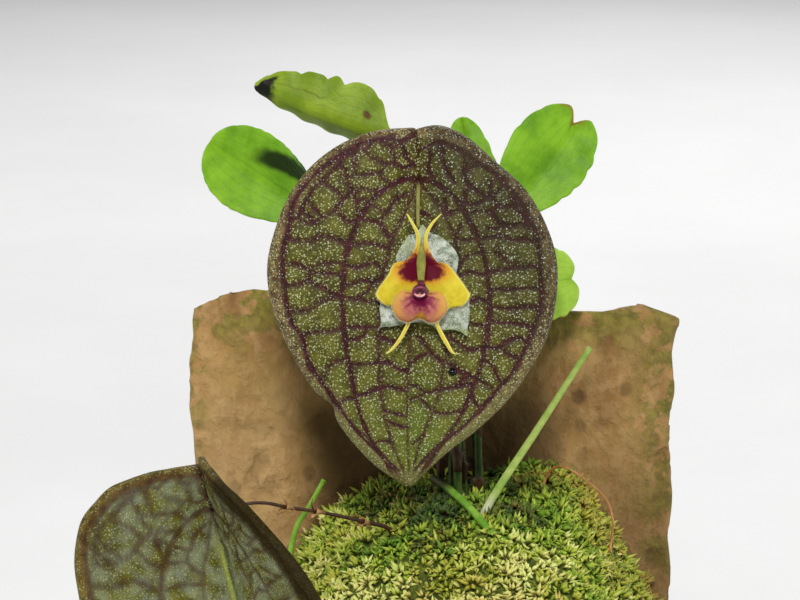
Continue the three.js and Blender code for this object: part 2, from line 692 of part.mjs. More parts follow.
function addStems() {
  const holes = [];
  const stalk = inBasket([1.97, 12.2, -1.35]).toArray();
  const mainCurve = curveThrough([
    [3.2, 8.6, 56], [2.7, 9.6, 64.5], [2.4, 12.2, 75.2], [1.1, 12.9, 87.6], [-0.7, 10.7, 96.1], stalk,
  ]);
  addStem('stem_main', mainCurve, 26, 6, sheathed(0.5, 0.35, 5), paint.stem(), holes);
  const lowPoints = [
    [-2.6, 5.5, 57], [-4.2, 3.6, 61.6], ...LOW_STEM.map((p) => inBasket(p).toArray()),
  ];
  addStem('stem_low', curveThrough(lowPoints), 30, 6, sheathed(0.26, 0.26, 6), paint.dryStem(), holes);
  for (const leaf of GREEN_LEAVES) {
    const base = new THREE.Vector3(...leaf.base);
    const tip = new THREE.Vector3(...leaf.tip);
    const back = base.clone().sub(tip).normalize();
    const top = inBasket(base.clone().addScaledVector(back, 0.35).toArray());
    const neck = inBasket(base.clone().addScaledVector(back, 2.2).toArray());
    const curve = curveThrough([leaf.foot, leaf.bow, neck.toArray(), top.toArray()]);
    addStem(`stem_green_${leaf.name}`, curve, 16, 5, (s) => 0.55 - 0.15 * s, paint.stem(), holes);
  }
  for (const { name, path, steps, sides, radius, taper } of SHOOTS) {
    const curve = curveThrough(path.map((p) => inBasket(p).toArray()));
    addStem(name, curve, steps, sides, (s) => radius - taper * s, paint.stem(), holes);
  }
  return holes;
}

function addLeaves() {
  const mainEdges = [NET_EDGE_LEFT, NET_EDGE_RIGHT];
  const mainLeaf = addPiece(plant, 'leaf_main', netLeaf(34, mainEdges, (p) => p), paint.netLeaf());
  mainLeaf.position.set(...LEAF_MAIN_AT);
  const lowEdges = [LOW_EDGE_LEFT, LOW_EDGE_RIGHT];
  const lowLeaf = addPiece(plant, 'leaf_low', netLeaf(26, lowEdges, lowLeafBend), paint.netLeaf());
  lowLeaf.position.set(...LEAF_LOW_AT);
  lowLeaf.rotation.set(degrees(LOW_LEAN), 0, degrees(LOW_TURN));
  for (const leaf of GREEN_LEAVES) {
    addPiece(plant, `leaf_green_${leaf.name}`, greenLeaf(leaf), paint.greenLeaf());
  }
}

// Flower: outlines in millimetres from the flower's centre, layered towards the viewer.
const FLOWER_AT = [2.12, 1.7, 0];
const SEPAL_LEVEL = 2.4;
const PETAL_LEVEL = 3.55;
const LIP_LEVEL = 4.8;
const LIP_THICK = 0.7;
const CAP_RADIUS = 0.8;
const CAP_ABOVE_LIP = 1.35;
const STALK_RADIUS = 0.24;

const SEPAL_OUTLINE = [
  [0.3, 6.4], [-1.2, 5.2], [-2.5, 2.9], [-2.7, 0.4], [-4.2, -2.6], [-4.4, -4.8], [-2.9, -4.5], [0.2, -4],
  [2.5, -4.9], [5, -5.4], [5.1, -2.4], [4.5, -0.2], [4, 1.4], [4, 2.6], [2.9, 4.5], [1.4, 5.4],
];
const PETAL_LEFT = [
  [-0.4, 3], [-1.1, 2.7], [-2.4, 2.2], [-3.2, 1.4], [-3.9, 0], [-4.7, -1.1], [-4.4, -1.6], [-3.1, -2.3],
  [-1.8, -2.3], [-0.8, -1.3], [-0.35, 0.2], [-0.4, 1.6],
];
const PETAL_RIGHT = [
  [0.6, 3], [0.7, 1.6], [0.75, 0.2], [1.1, -1.3], [1.8, -2.3], [3.4, -2.45], [4.9, -1.8], [5.2, -1.2],
  [4.2, 0.4], [3.4, 1.8], [2.5, 2.15], [1.4, 2.6],
];
const LIP_OUTLINE = [
  [-0.1, -0.3], [-1.2, -0.5], [-2.3, -0.9], [-2.85, -2.4], [-2.3, -3.8], [-1.2, -4.2], [-0.2, -3.7],
  [0.8, -4.2], [2, -4], [2.75, -2.8], [2.4, -1.2], [1.1, -0.6],
];
const HORN_LEFT = [[-0.75, 2.3], [-0.3, 3.5], [-0.2, 4.7], [-0.4, 5.7], [-1.47, 7.42]];
const HORN_RIGHT = [[1.05, 2.3], [0.55, 3.5], [0.55, 4.7], [0.95, 5.7], [2.3, 7.36]];
const TAIL_LEFT = [[-1.2, -1.6], [-1.2, -4], [-2.2, -6.1], [-3.7, -7.4]];
const TAIL_RIGHT = [[1.5, -1.6], [1.8, -4], [2.8, -6.4], [4.1, -7.4]];

function petal(outline, centre, horn, tail) {
  const crown = (x, y, r) => PETAL_LEVEL - 0.25 * r * r;
  let solid = toSolid(plate(centre, outline, 2, 18, crown, PETAL_THICK));
  for (const [path, radius, rise] of [[horn, 0.34, 0.9], [tail, 0.26, -0.1]]) {
    const curve = curveThrough(path.map(([x, y], i) => [x, y, PETAL_LEVEL + (rise * i) / path.length]));
    solid = solid.add(toSolid(tube(curve, 7, 6, (s) => radius * (1 - 0.5 * s))));
  }
  return fromSolid(solid);
}

function addFlower() {
  const flower = new THREE.Group();
  flower.position.set(...FLOWER_AT);
  plant.add(flower);
  const sepalCrown = (x, y, r) => SEPAL_LEVEL - 0.1 * r * r;
  addPiece(flower, 'sepals', plate([0.3, 0], SEPAL_OUTLINE, 3, 26, sepalCrown, PETAL_THICK), paint.sepal());
  addPiece(flower, 'petal_left', petal(PETAL_LEFT, [-1.9, 0.1], HORN_LEFT, TAIL_LEFT), paint.petal());
  addPiece(flower, 'petal_right', petal(PETAL_RIGHT, [2.3, 0.1], HORN_RIGHT, TAIL_RIGHT), paint.petal());
  const lipCrown = (x, y, r) => LIP_LEVEL + 0.3 - 0.6 * r * r + 0.06 * (y + 2) * r;
  addPiece(flower, 'lip', plate([0, -2.2], LIP_OUTLINE, 3, 24, lipCrown, LIP_THICK), paint.lip());
  const columnCurve = curveThrough([[0.1, 4, 4.55], [0.1, 2.2, 4.8], [0.1, 0.4, 5.1]]);
  const swell = (s) => 0.24 + 0.2 * Math.sin(Math.PI * clamp(s, 0.1, 0.8));
  addPiece(flower, 'column', tube(columnCurve, 5, 7, swell), paint.column());
  const cap = new THREE.SphereGeometry(CAP_RADIUS, 10, 6);
  cap.scale(1, 0.85, 0.6);
  cap.translate(-0.05, -0.8, LIP_LEVEL + CAP_ABOVE_LIP);
  addPiece(flower, 'column_cap', cleaned(cap), paint.cap());
  const stalk = curveThrough([[1.95, 12.2, 1.5], [1.9, 10.5, 1.95], [1.9, 8.4, 2.15]]);
  addPiece(plant, 'flower_stalk', tube(stalk, 6, 6, () => STALK_RADIUS), paint.stem());
}

addBasket();
addPiece(model, 'bark_slab', slabGeometry(0), paint.bark());
addLeaves();
addMoss(addStems());
addFlower();

export default model;
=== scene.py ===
# %% [markdown]
# # A net-leaved miniature orchid in a slatted basket
#
# The plant is smaller than a hand: the big leaf is 38 mm long and the flower on it 10 mm wide.
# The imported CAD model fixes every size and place. This lesson builds the looks around it, piece
# by piece: plants are made of thin curved sheets, tubes and thousands of tiny moss leaves.
# Shapes are computed with numpy in millimetres, because whole arrays of points move at once.

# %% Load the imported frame
import math

import bmesh
import bpy
import numpy as np
from mathutils import Matrix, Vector
from mathutils.kdtree import KDTree


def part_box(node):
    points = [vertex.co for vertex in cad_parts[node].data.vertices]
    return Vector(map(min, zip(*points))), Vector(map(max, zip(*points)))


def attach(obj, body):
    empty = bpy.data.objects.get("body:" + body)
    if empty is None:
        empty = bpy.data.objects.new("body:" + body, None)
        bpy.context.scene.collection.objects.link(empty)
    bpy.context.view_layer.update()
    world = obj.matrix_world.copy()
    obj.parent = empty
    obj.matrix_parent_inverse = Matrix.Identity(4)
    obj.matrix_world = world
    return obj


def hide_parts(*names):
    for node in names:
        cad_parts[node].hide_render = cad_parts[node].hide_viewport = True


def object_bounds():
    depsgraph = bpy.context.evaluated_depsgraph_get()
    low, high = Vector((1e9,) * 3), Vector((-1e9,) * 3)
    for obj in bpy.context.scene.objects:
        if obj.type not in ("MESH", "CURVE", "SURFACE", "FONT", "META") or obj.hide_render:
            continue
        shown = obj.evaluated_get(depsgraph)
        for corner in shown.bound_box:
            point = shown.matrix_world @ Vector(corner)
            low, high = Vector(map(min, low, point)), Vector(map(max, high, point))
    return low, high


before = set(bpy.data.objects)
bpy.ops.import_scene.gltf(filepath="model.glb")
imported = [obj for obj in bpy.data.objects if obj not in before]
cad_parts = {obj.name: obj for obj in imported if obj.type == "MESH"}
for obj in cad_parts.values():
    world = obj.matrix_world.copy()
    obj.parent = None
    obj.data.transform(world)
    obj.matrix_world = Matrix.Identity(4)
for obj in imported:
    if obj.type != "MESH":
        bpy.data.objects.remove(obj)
cad_box = [list(corner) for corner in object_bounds()]
MM = 0.001
print("CAD box in mm:", [[round(x / MM, 1) for x in corner] for corner in cad_box])

# %% [markdown]
# ## Camera, lights and floor
#
# The picture is a close portrait of the big leaf, seen square on from slightly above. A long lens
# far away keeps the leaf's shape true. The camera looks down by 15 degrees, and so does the leaf.

# %% Camera
PLANT_CENTRE = np.array([-3.7, 4.4, 88.0])
LEAN = math.radians(75)
CAMERA_PLACE = (-0.0037, -0.33367, 0.17859)
LENS = 148
camera = bpy.data.objects.new("camera", bpy.data.cameras.new("camera"))
camera.location = CAMERA_PLACE
camera.rotation_euler = (LEAN, 0, 0)
camera.data.lens = LENS
camera.data.sensor_width = 36
bpy.context.collection.objects.link(camera)
bpy.context.scene.camera = camera
print(f"camera: {LENS} mm lens, looking down {90 - math.degrees(LEAN):.0f} degrees")

# %% [markdown]
# One lamp straight above the camera gives the shadow that the leaf throws down on the bark.
# Weaker lamps at the flanks and behind show the other sides, and a pale world keeps the shadows
# open. The Standard view shows a colour on screen just as the lit material gives it.


# %% Lights
AIM = np.array((0, 0, 0.07))


def area_lamp(name, place, power, size):
    lamp = bpy.data.objects.new(name, bpy.data.lights.new(name, "AREA"))
    lamp.data.energy = power
    lamp.data.size = size
    lamp.location = place
    offset = AIM - np.array(place)
    yaw = math.atan2(-offset[0], offset[1])
    pitch = math.atan2(-offset[2], math.hypot(offset[0], offset[1]))
    lamp.rotation_euler = (math.pi / 2 - pitch, 0, yaw)
    bpy.context.collection.objects.link(lamp)


area_lamp("key", (-0.01, -0.36, 0.37), 1.75, 0.09)
area_lamp("fill_left", (-0.60, 0.10, 0.35), 1.6, 0.4)
area_lamp("fill_right", (0.60, 0.05, 0.30), 1.6, 0.4)
area_lamp("fill_back", (0.10, 0.60, 0.45), 2.4, 0.4)
bpy.context.scene.view_settings.view_transform = "Standard"
world = bpy.data.worlds.new("studio")
world.use_nodes = True
world.node_tree.nodes["Background"].inputs["Color"].default_value = (0.92, 0.94, 1, 1)
world.node_tree.nodes["Background"].inputs["Strength"].default_value = 0.2
bpy.context.scene.world = world

# %% [markdown]
# ## Helpers that shape points
#
# Most pieces here are one of two things. A sheet has a middle surface and a thickness, as a leaf
# or a petal. A tube follows a line, as a stem or a hair. Both are lofts: closed rings of points,
# joined one to the next, with a face at either end. So their meshes are always closed.


# %% Curves through points
def smooth_curve(points, count):
    """A centripetal Catmull-Rom curve through the points, sampled evenly by length."""
    p = np.array(points, float)
    p = np.vstack([2 * p[0] - p[1], p, 2 * p[-1] - p[-2]])
    gap = np.sqrt(np.linalg.norm(np.diff(p, axis=0), axis=1))
    t = np.linspace(0, 1, 24, endpoint=False)[:, None]
    parts = []
    for k in range(1, len(p) - 2):
        a, b, c, d = p[k - 1 : k + 3]
        g0, g1, g2 = gap[k - 1 : k + 2]
        start = ((b - a) / g0 - (c - a) / (g0 + g1) + (c - b) / g1) * g1
        end = ((c - b) / g1 - (d - b) / (g1 + g2) + (d - c) / g2) * g1
        parts.append(
            b + start * t + (3 * (c - b) - 2 * start - end) * t**2 + (2 * (b - c) + start + end) * t**3
        )
    parts.append(p[-2][None])
    return along(np.vstack(parts), np.linspace(0, 1, count))


def along(path, shares):
    """Points at these shares of a path's length."""
    steps = np.linalg.norm(np.diff(path, axis=0), axis=1)
    reached = np.concatenate([[0], np.cumsum(steps)])
    wanted = np.asarray(shares) * reached[-1]
    return np.stack([np.interp(wanted, reached, path[:, k]) for k in range(path.shape[1])], axis=-1)


def smoothstep(x, low, high):
    """0 below low, 1 above high, and a soft rise between them."""
    t = np.clip((x - low) / (high - low), 0, 1)
    return t * t * (3 - 2 * t)


def falling(x, low, high):
    """1 below low, 0 above high, and a soft fall between them."""
    return smoothstep(-x, -high, -low)


def unit(vectors):
    """The same directions with a length of one."""
    return vectors / np.maximum(np.linalg.norm(vectors, axis=-1, keepdims=True), 1e-9)


# %% [markdown]
# Bark, moss and leaves are never perfectly smooth. This noise gives a random value at the corners
# of a grid and blends between them, for all the points at once, and always the same way.


# %% Noise
def rough(points, size, seed=0):
    """Smooth random values from -1 to 1 that change over about one size."""
    p = np.asarray(points, float) / size
    cell = np.floor(p).astype(np.int64)
    f = p - cell
    f = f * f * (3 - 2 * f)
    total = np.zeros(len(p))
    for corner in np.ndindex(2, 2, 2):
        c = cell + corner
        key = (c[:, 0] * 73856093) ^ (c[:, 1] * 19349663) ^ (c[:, 2] * 83492791) ^ (seed * 7919 + 17)
        key = ((key & 0xFFFFFF) * 1103515245 + 12345) & 0x7FFFFFFF
        key = ((key >> 7) * 22695477 + 1) & 0x7FFFFFFF
        weight = np.prod(np.where(corner, f, 1 - f), axis=1)
        total += weight * (key / 0x7FFFFFFF)
    return total * 2 - 1


def layered_rough(points, size, seed=0, layers=3):
    """Noise with finer and weaker noise on top."""
    return sum(rough(points, size / 2**k, seed + k) / 2**k for k in range(layers))


# %% Lofts
def loft(rings):
    """Faces that join closed rings of points, with a flat end at the first and last ring."""
    count, around = rings.shape[:2]
    row = np.arange(count - 1)[:, None] * around
    here = np.arange(around)[None]
    there = (here + 1) % around
    quads = np.stack([row + here, row + there, row + there + around, row + here + around], axis=-1)
    faces = quads.reshape(-1, 4).tolist()
    last = (count - 1) * around
    faces.append([int(k) for k in range(around)][::-1])
    faces.append([last + int(k) for k in range(around)])
    return rings.reshape(-1, 3), faces


ARC = np.radians([40, 90, 140])


def thick_sheet(middle, half, relief=0.0):
    """A closed sheet round a grid of middle points. Its rim is rounded, and relief raises its
    front and sinks its back. Also gives each point's row, column and side: 1 is the front."""
    rows, columns = middle.shape[:2]
    over = np.gradient(middle, axis=1)
    over[0], over[-1] = over[1], over[-2]
    normal = unit(np.cross(np.gradient(middle, axis=0), over))
    half, relief = half[..., None], np.broadcast_to(relief, half.shape)[..., None]
    front, back = middle + normal * (half + relief), middle - normal * (half - relief)
    out = unit(over)
    arc_right = [
        middle[:, -1] + half[:, -1] * (math.cos(a) * normal[:, -1] + math.sin(a) * out[:, -1])
        for a in ARC
    ]
    arc_left = [
        middle[:, 0] + half[:, 0] * (math.cos(a) * normal[:, 0] - math.sin(a) * out[:, 0])
        for a in ARC[::-1]
    ]
    rings = np.concatenate(
        [front, np.stack(arc_right, 1), back[:, ::-1], np.stack(arc_left, 1)], axis=1
    )
    order = [*range(columns), *[columns - 1] * 3, *range(columns - 1, -1, -1), *[0] * 3]
    side = [*[1] * columns, 1, 0.5, 0, *[0] * columns, 0, 0.5, 1]
    row_of = np.repeat(np.arange(rows), len(order))
    points, faces = loft(rings)
    return points, faces, row_of, np.tile(order, rows), np.tile(side, rows)


def tube(path, radii, sides=8):
    """A closed tube along a path. Its frame is carried along, so that it never twists."""
    path = np.asarray(path, float)
    radii = np.broadcast_to(radii, len(path))
    heading = unit(np.gradient(path, axis=0))
    across = unit(np.cross(heading[0], [0.31, 0.22, 0.93]))
    rings = []
    for point, ahead, radius in zip(path, heading, radii):
        across = unit(across - ahead * np.dot(across, ahead))
        third = np.cross(ahead, across)
        angle = np.linspace(0, 2 * np.pi, sides, endpoint=False)[:, None]
        rings.append(point + radius * (np.cos(angle) * across + np.sin(angle) * third))
    return loft(np.array(rings))


def joined(parts):
    """Several (points, faces) pairs as one."""
    points, faces, start = [], [], 0
    for some_points, some_faces in parts:
        points.append(some_points)
        faces.extend([[start + k for k in face] for face in some_faces])
        start += len(some_points)
    return np.vstack(points), faces


# %% [markdown]
# ## From points to pieces
#
# The plant is measured in its own leaning frame, where x is right, y up the big leaf and z towards
# the viewer. Every piece is brought into the basket's frame, rides on the one body that the part
# has, and says which CAD solids it stands for.

# %% Making a piece
TO_BASKET = Matrix.Translation(PLANT_CENTRE.tolist()) @ Matrix.Rotation(LEAN, 4, "X")


def in_mm(box):
    """The low and the high corner of a box in metres."""
    return [np.array(corner) / MM for corner in box]


def placed(points, matrix=TO_BASKET):
    m = np.array(matrix)
    return np.asarray(points, float) @ m[:3, :3].T + m[:3, 3]


def make_piece(name, points, faces, material, slot, nodes=(), values=None, weld=True):
    """Builds a mesh from points in the basket's frame, in mm, with its point values."""
    mesh = bpy.data.meshes.new(name)
    mesh.from_pydata((np.asarray(points) * MM).tolist(), [], faces)
    for key, numbers in (values or {}).items():
        layer = mesh.attributes.new(key, "FLOAT", "POINT")
        layer.data.foreach_set("value", np.asarray(numbers, np.float32))
    work = bmesh.new()
    work.from_mesh(mesh)
    if weld:
        bmesh.ops.remove_doubles(work, verts=work.verts, dist=2e-6)
    bmesh.ops.recalc_face_normals(work, faces=work.faces)
    work.to_mesh(mesh)
    work.free()
    mesh.shade_smooth()
    mesh.materials.append(material)
    piece = bpy.data.objects.new(name, mesh)
    bpy.context.collection.objects.link(piece)
    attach(piece, "root")
    if nodes:
        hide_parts(*nodes)
    mesh.calc_loop_triangles()
    report = f"{name}: {len(mesh.loop_triangles)} triangles"
    if len(nodes) == 1:
        low, high = in_mm(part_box(nodes[0]))
        worst = max(np.abs(points.min(0) - low).max(), np.abs(points.max(0) - high).max())
        report += f", box within {worst:.2f} mm of its solid"
    print(report)
    return piece


# %% [markdown]
# ## Shader helpers
#
# A material is a small network of nodes. These helpers keep the networks short. The effects that
# many materials share are node groups with named inputs: mottle blends two colours by noise, and
# specks gives scattered round dots.


# %% Node helpers
def node(tree, kind, inputs=None, **settings):
    """A new node. An input is either linked to a socket or set to a value."""
    made = tree.nodes.new(kind)
    for key, value in settings.items():
        setattr(made, key, value)
    for key, value in (inputs or {}).items():
        if isinstance(value, bpy.types.NodeSocket):
            tree.links.new(value, made.inputs[key])
        else:
            made.inputs[key].default_value = value
    return made


def calc(tree, operation, a, b=0.0):
    return node(tree, "ShaderNodeMath", {0: a, 1: b}, operation=operation).outputs[0]


def times(tree, a, b):
    return calc(tree, "MULTIPLY", a, b)


def plus(tree, a, b):
    return calc(tree, "ADD", a, b)


def minus(tree, a, b):
    return calc(tree, "SUBTRACT", a, b)


def ease(tree, value, low, high, to_low=0.0, to_high=1.0):
    """The shader's own soft rise, from to_low at low to to_high at high."""
    inputs = {"Value": value, "From Min": low, "From Max": high, "To Min": to_low, "To Max": to_high}
    return node(tree, "ShaderNodeMapRange", inputs, interpolation_type="SMOOTHSTEP").outputs[0]


def swing(tree, value, amount):
    """A value from 0 to 1, turned into a small change either way."""
    return times(tree, minus(tree, value, 0.5), amount)


def mix(tree, factor, a, b):
    return node(tree, "ShaderNodeMix", {0: factor, 6: a, 7: b}, data_type="RGBA").outputs[2]


def layer(tree, name):
    """A point value that the piece carries."""
    return node(tree, "ShaderNodeAttribute", attribute_name=name).outputs["Fac"]


def mix_by(tree, name, amount, a, b):
    """Goes from a to b with a point value times an amount."""
    return mix(tree, times(tree, layer(tree, name), amount), a, b)


def rgb(red, green, blue):
    """A colour as seen on screen, from 0 to 255, turned into the linear light of a material."""
    linear = [((x / 255 + 0.055) / 1.055) ** 2.4 if x > 10 else x / 3300 for x in (red, green, blue)]
    return (*linear, 1)


def new_material(name, **constants):
    """A material with its node tree and its Principled shader, and constants set on the shader."""
    made = bpy.data.materials.new(name)
    made.use_nodes = True
    shader = made.node_tree.nodes["Principled BSDF"]
    for key, value in constants.items():
        shader.inputs[key.replace("_", " ")].default_value = value
    return made, made.node_tree, shader


def paint(tree, shader, colour):
    tree.links.new(colour, shader.inputs["Base Color"])


def bump(tree, shader, height, strength, distance):
    made = node(tree, "ShaderNodeBump", {"Height": height, "Strength": strength, "Distance": distance})
    tree.links.new(made.outputs[0], shader.inputs["Normal"])


# %% Shared effects
def new_group(name, size_name, inputs, outputs):
    """An empty node group, its inputs and outputs, the stretched place on the piece, and the
    texture scale that belongs to its size in millimetres."""
    group = bpy.data.node_groups.new(name, "ShaderNodeTree")
    for label, kind, value in inputs:
        group.interface.new_socket(label, in_out="INPUT", socket_type=kind).default_value = value
    for label, kind in outputs:
        group.interface.new_socket(label, in_out="OUTPUT", socket_type=kind)
    given = node(group, "NodeGroupInput").outputs
    place = node(group, "ShaderNodeTexCoord").outputs["Object"]
    stretched = node(group, "ShaderNodeVectorMath", {0: place, 1: given["Stretch"]}, operation="MULTIPLY")
    scale = calc(group, "DIVIDE", 1000.0, given[size_name])
    return group, given, node(group, "NodeGroupOutput").inputs, stretched.outputs[0], scale


FLOAT, COLOUR, VECTOR = "NodeSocketFloat", "NodeSocketColor", "NodeSocketVector"
GREY = (0.5, 0.5, 0.5, 1)

mottle_group, given, made, place, scale = new_group(
    "mottle",
    "Size mm",
    [
        ("Dark", COLOUR, GREY),
        ("Light", COLOUR, GREY),
        ("Size mm", FLOAT, 2.0),
        ("Stretch", VECTOR, (1, 1, 1)),
        ("Sharpness", FLOAT, 0.5),
        ("Seed", FLOAT, 0.0),
    ],
    [("Color", COLOUR), ("Value", FLOAT)],
)
cloud = node(
    mottle_group,
    "ShaderNodeTexNoise",
    {"Vector": place, "W": given["Seed"], "Scale": scale, "Detail": 5.0, "Roughness": 0.6},
    noise_dimensions="4D",
)
narrow = calc(mottle_group, "MULTIPLY", given["Sharpness"], 0.3)
value = ease(
    mottle_group,
    cloud.outputs[0],
    calc(mottle_group, "ADD", narrow, 0.15),
    calc(mottle_group, "SUBTRACT", 0.85, narrow),
)
mottle_group.links.new(mix(mottle_group, value, given["Dark"], given["Light"]), made["Color"])
mottle_group.links.new(value, made["Value"])

specks_group, given, made, place, scale = new_group(
    "specks",
    "Spacing mm",
    [
        ("Spacing mm", FLOAT, 0.5),
        ("Radius", FLOAT, 0.25),
        ("Share", FLOAT, 0.7),
        ("Stretch", VECTOR, (1, 1, 1)),
    ],
    [("Mask", FLOAT), ("Random", FLOAT)],
)
cells = node(specks_group, "ShaderNodeTexVoronoi", {"Vector": place, "Scale": scale})
dice = node(specks_group, "ShaderNodeSeparateColor", {0: cells.outputs["Color"]}).outputs[0]
inner = calc(specks_group, "MULTIPLY", given["Radius"], 0.45)
dot = ease(specks_group, cells.outputs["Distance"], inner, given["Radius"], 1.0, 0.0)
kept = calc(specks_group, "LESS_THAN", dice, given["Share"])
specks_group.links.new(calc(specks_group, "MULTIPLY", dot, kept), made["Mask"])
specks_group.links.new(dice, made["Random"])
print("node groups:", [group.name for group in bpy.data.node_groups])


def mottle(tree, dark, light, size_mm, stretch=(1, 1, 1), sharpness=0.5, seed=0.0):
    inputs = {"Dark": dark, "Light": light, "Size mm": size_mm, "Stretch": stretch}
    inputs.update({"Sharpness": sharpness, "Seed": seed})
    return node(tree, "ShaderNodeGroup", inputs, node_tree=mottle_group).outputs


def mottled(tree, dark, light, size_mm, **settings):
    return mottle(tree, dark, light, size_mm, **settings)["Color"]


def grey_noise(tree, size_mm, **settings):
    return mottle(tree, GREY, GREY, size_mm, **settings)["Value"]


def specks(tree, spacing_mm, radius, share, stretch=(1, 1, 1)):
    inputs = {"Spacing mm": spacing_mm, "Radius": radius, "Share": share, "Stretch": stretch}
    return node(tree, "ShaderNodeGroup", inputs, node_tree=specks_group).outputs


# %% [markdown]
# ## The floor
#
# A wide pale floor, a little uneven in tone, stands in for a studio table.

# %% Floor
paper, tree, shader = new_material("floor_paper", Roughness=0.85)
paint(tree, shader, mottled(tree, rgb(230, 230, 228), rgb(236, 236, 234), 90))
floor_mesh = bpy.data.meshes.new("floor")
floor_mesh.from_pydata([(-6, -6, 0), (6, -6, 0), (6, 6, 0), (-6, 6, 0)], [], [(0, 1, 2, 3)])
floor_mesh.materials.append(paper)
floor = bpy.data.objects.new("floor", floor_mesh)
bpy.context.collection.objects.link(floor)
print("stage:", floor.name)

# %% [markdown]
# ## The net-veined leaf
#
# The blade is a broad heart whose two lower lobes meet above the stalk. Seven lines run from the
# stalk to the tip: two edges, two main veins, two inner veins and the midrib. They are given in
# millimetres from the stalk, and the grid of the sheet is drawn between them.

# %% Lines of the leaf
EDGE_LEFT = [(-0.5, 5.3), (-5.1, 4.8), (-9.6, 2.6), (-13.1, -1.1), (-15.3, -6.5), (-15.8, -9.8),
             (-15.2, -13.7), (-13.4, -18), (-10.8, -22.2), (-8.8, -23.9), (-8.4, -25.4), (-4.8, -29.8),
             (-1, -32.5)]
EDGE_RIGHT = [(-0.1, 5.2), (2.2, 5.5), (4.7, 4.5), (8, 1.7), (11.3, -1.4), (13.8, -6.2), (14.5, -10),
              (13.7, -15.7), (11.8, -19.7), (9, -23.5), (5.2, -27), (3.8, -28), (2, -29.5), (-1, -32.5)]
LOW_EDGE_LEFT = [(0.9, 4.7), (-1, 5), (-3.1, 5.2), (-5.2, 5.4), (-7.4, 5.3), (-9.5, 5), (-11.2, 4),
                 (-12.9, 2.7), (-14.1, 0.6), (-14.9, -1.6), (-15.3, -4.4), (-15.5, -8), (-15.1, -12.5),
                 (-13.6, -17.5), (-11, -22), (-8.4, -25.4), (-4.8, -29.8), (-1, -32.5)]
LOW_EDGE_RIGHT = [(1.8, 4.9), *EDGE_RIGHT[1:]]
MAIN_LEFT = [(0, 0), (-1.4, 0.1), (-3.7, -1.1), (-5.9, -3.5), (-7.3, -6.8), (-8, -10.3), (-8, -14.9),
             (-7.2, -20.5), (-5.7, -26.2), (-3.4, -30), (-1, -32.5)]
MAIN_RIGHT = [(0, 0), (1.1, 0), (3.7, -1.8), (5.6, -4.9), (6.9, -8.1), (7.5, -12.5), (7.3, -16.5),
              (6.1, -21.3), (4, -25.8), (1.2, -29.6), (-1, -32.5)]
INNER_LEFT = [(0, 0), (-1.7, -3.9), (-2.9, -6.5), (-3.8, -11), (-4.2, -16), (-4, -22), (-3, -27.5),
              (-1, -32.5)]
INNER_RIGHT = [(0, 0), (2.7, -3.7), (4.2, -8), (3.9, -13), (2.9, -18.5), (1.9, -23.5), (0.3, -27.8),
               (-1, -32.5)]
MIDRIB = [(0, 0), (-0.6, -10), (-1, -18), (-1.3, -26), (-1, -32.5)]
RIM_VEIN_LEFT = [(-0.6, 4.7), (-1.8, 4.1), (-3.2, 4.3), (-5.5, 4), (-8, 2.7), (-9.1, 2),
                 (-11, 0.3), (-12.3, -1), (-13, -2.1), (-13.5, -3.8), (-14.1, -6.4), (-14.4, -7.9),
                 (-14.4, -10.1), (-14.2, -11.4), (-14.1, -12.7), (-13.4, -15.2), (-12.3, -16.9), (-12, -18.3),
                 (-11.3, -20), (-10.2, -21.5), (-9, -23.1), (-7.7, -25), (-6.5, -26.6), (-5, -28.2),
                 (-3.5, -29.5), (-2.1, -31)]
RIM_VEIN_RIGHT = [(0.3, 3.3), (2.2, 4), (4.8, 2.8), (6.4, 1.7), (7.5, 1), (9.2, -0.5),
                  (10.8, -2.3), (11.5, -3.6), (12.5, -6), (12.8, -7.5), (12.9, -9.1), (12.9, -10.6),
                  (13.1, -12.4), (12.6, -14.4), (12.2, -15.8), (10.8, -19), (10, -20.4), (8.9, -21.7),
                  (8, -22.7), (6.8, -24.1), (5.6, -25.3), (4.5, -26.3), (3.3, -27.2), (2, -28.2),
                  (0.9, -29.4), (-0.4, -30.8)]
print("leaf width in mm:", max(EDGE_RIGHT)[0] - min(EDGE_LEFT)[0])

# %% [markdown]
# Between the long veins lies a net of short cross veins. Each one is a bent line of a few points.

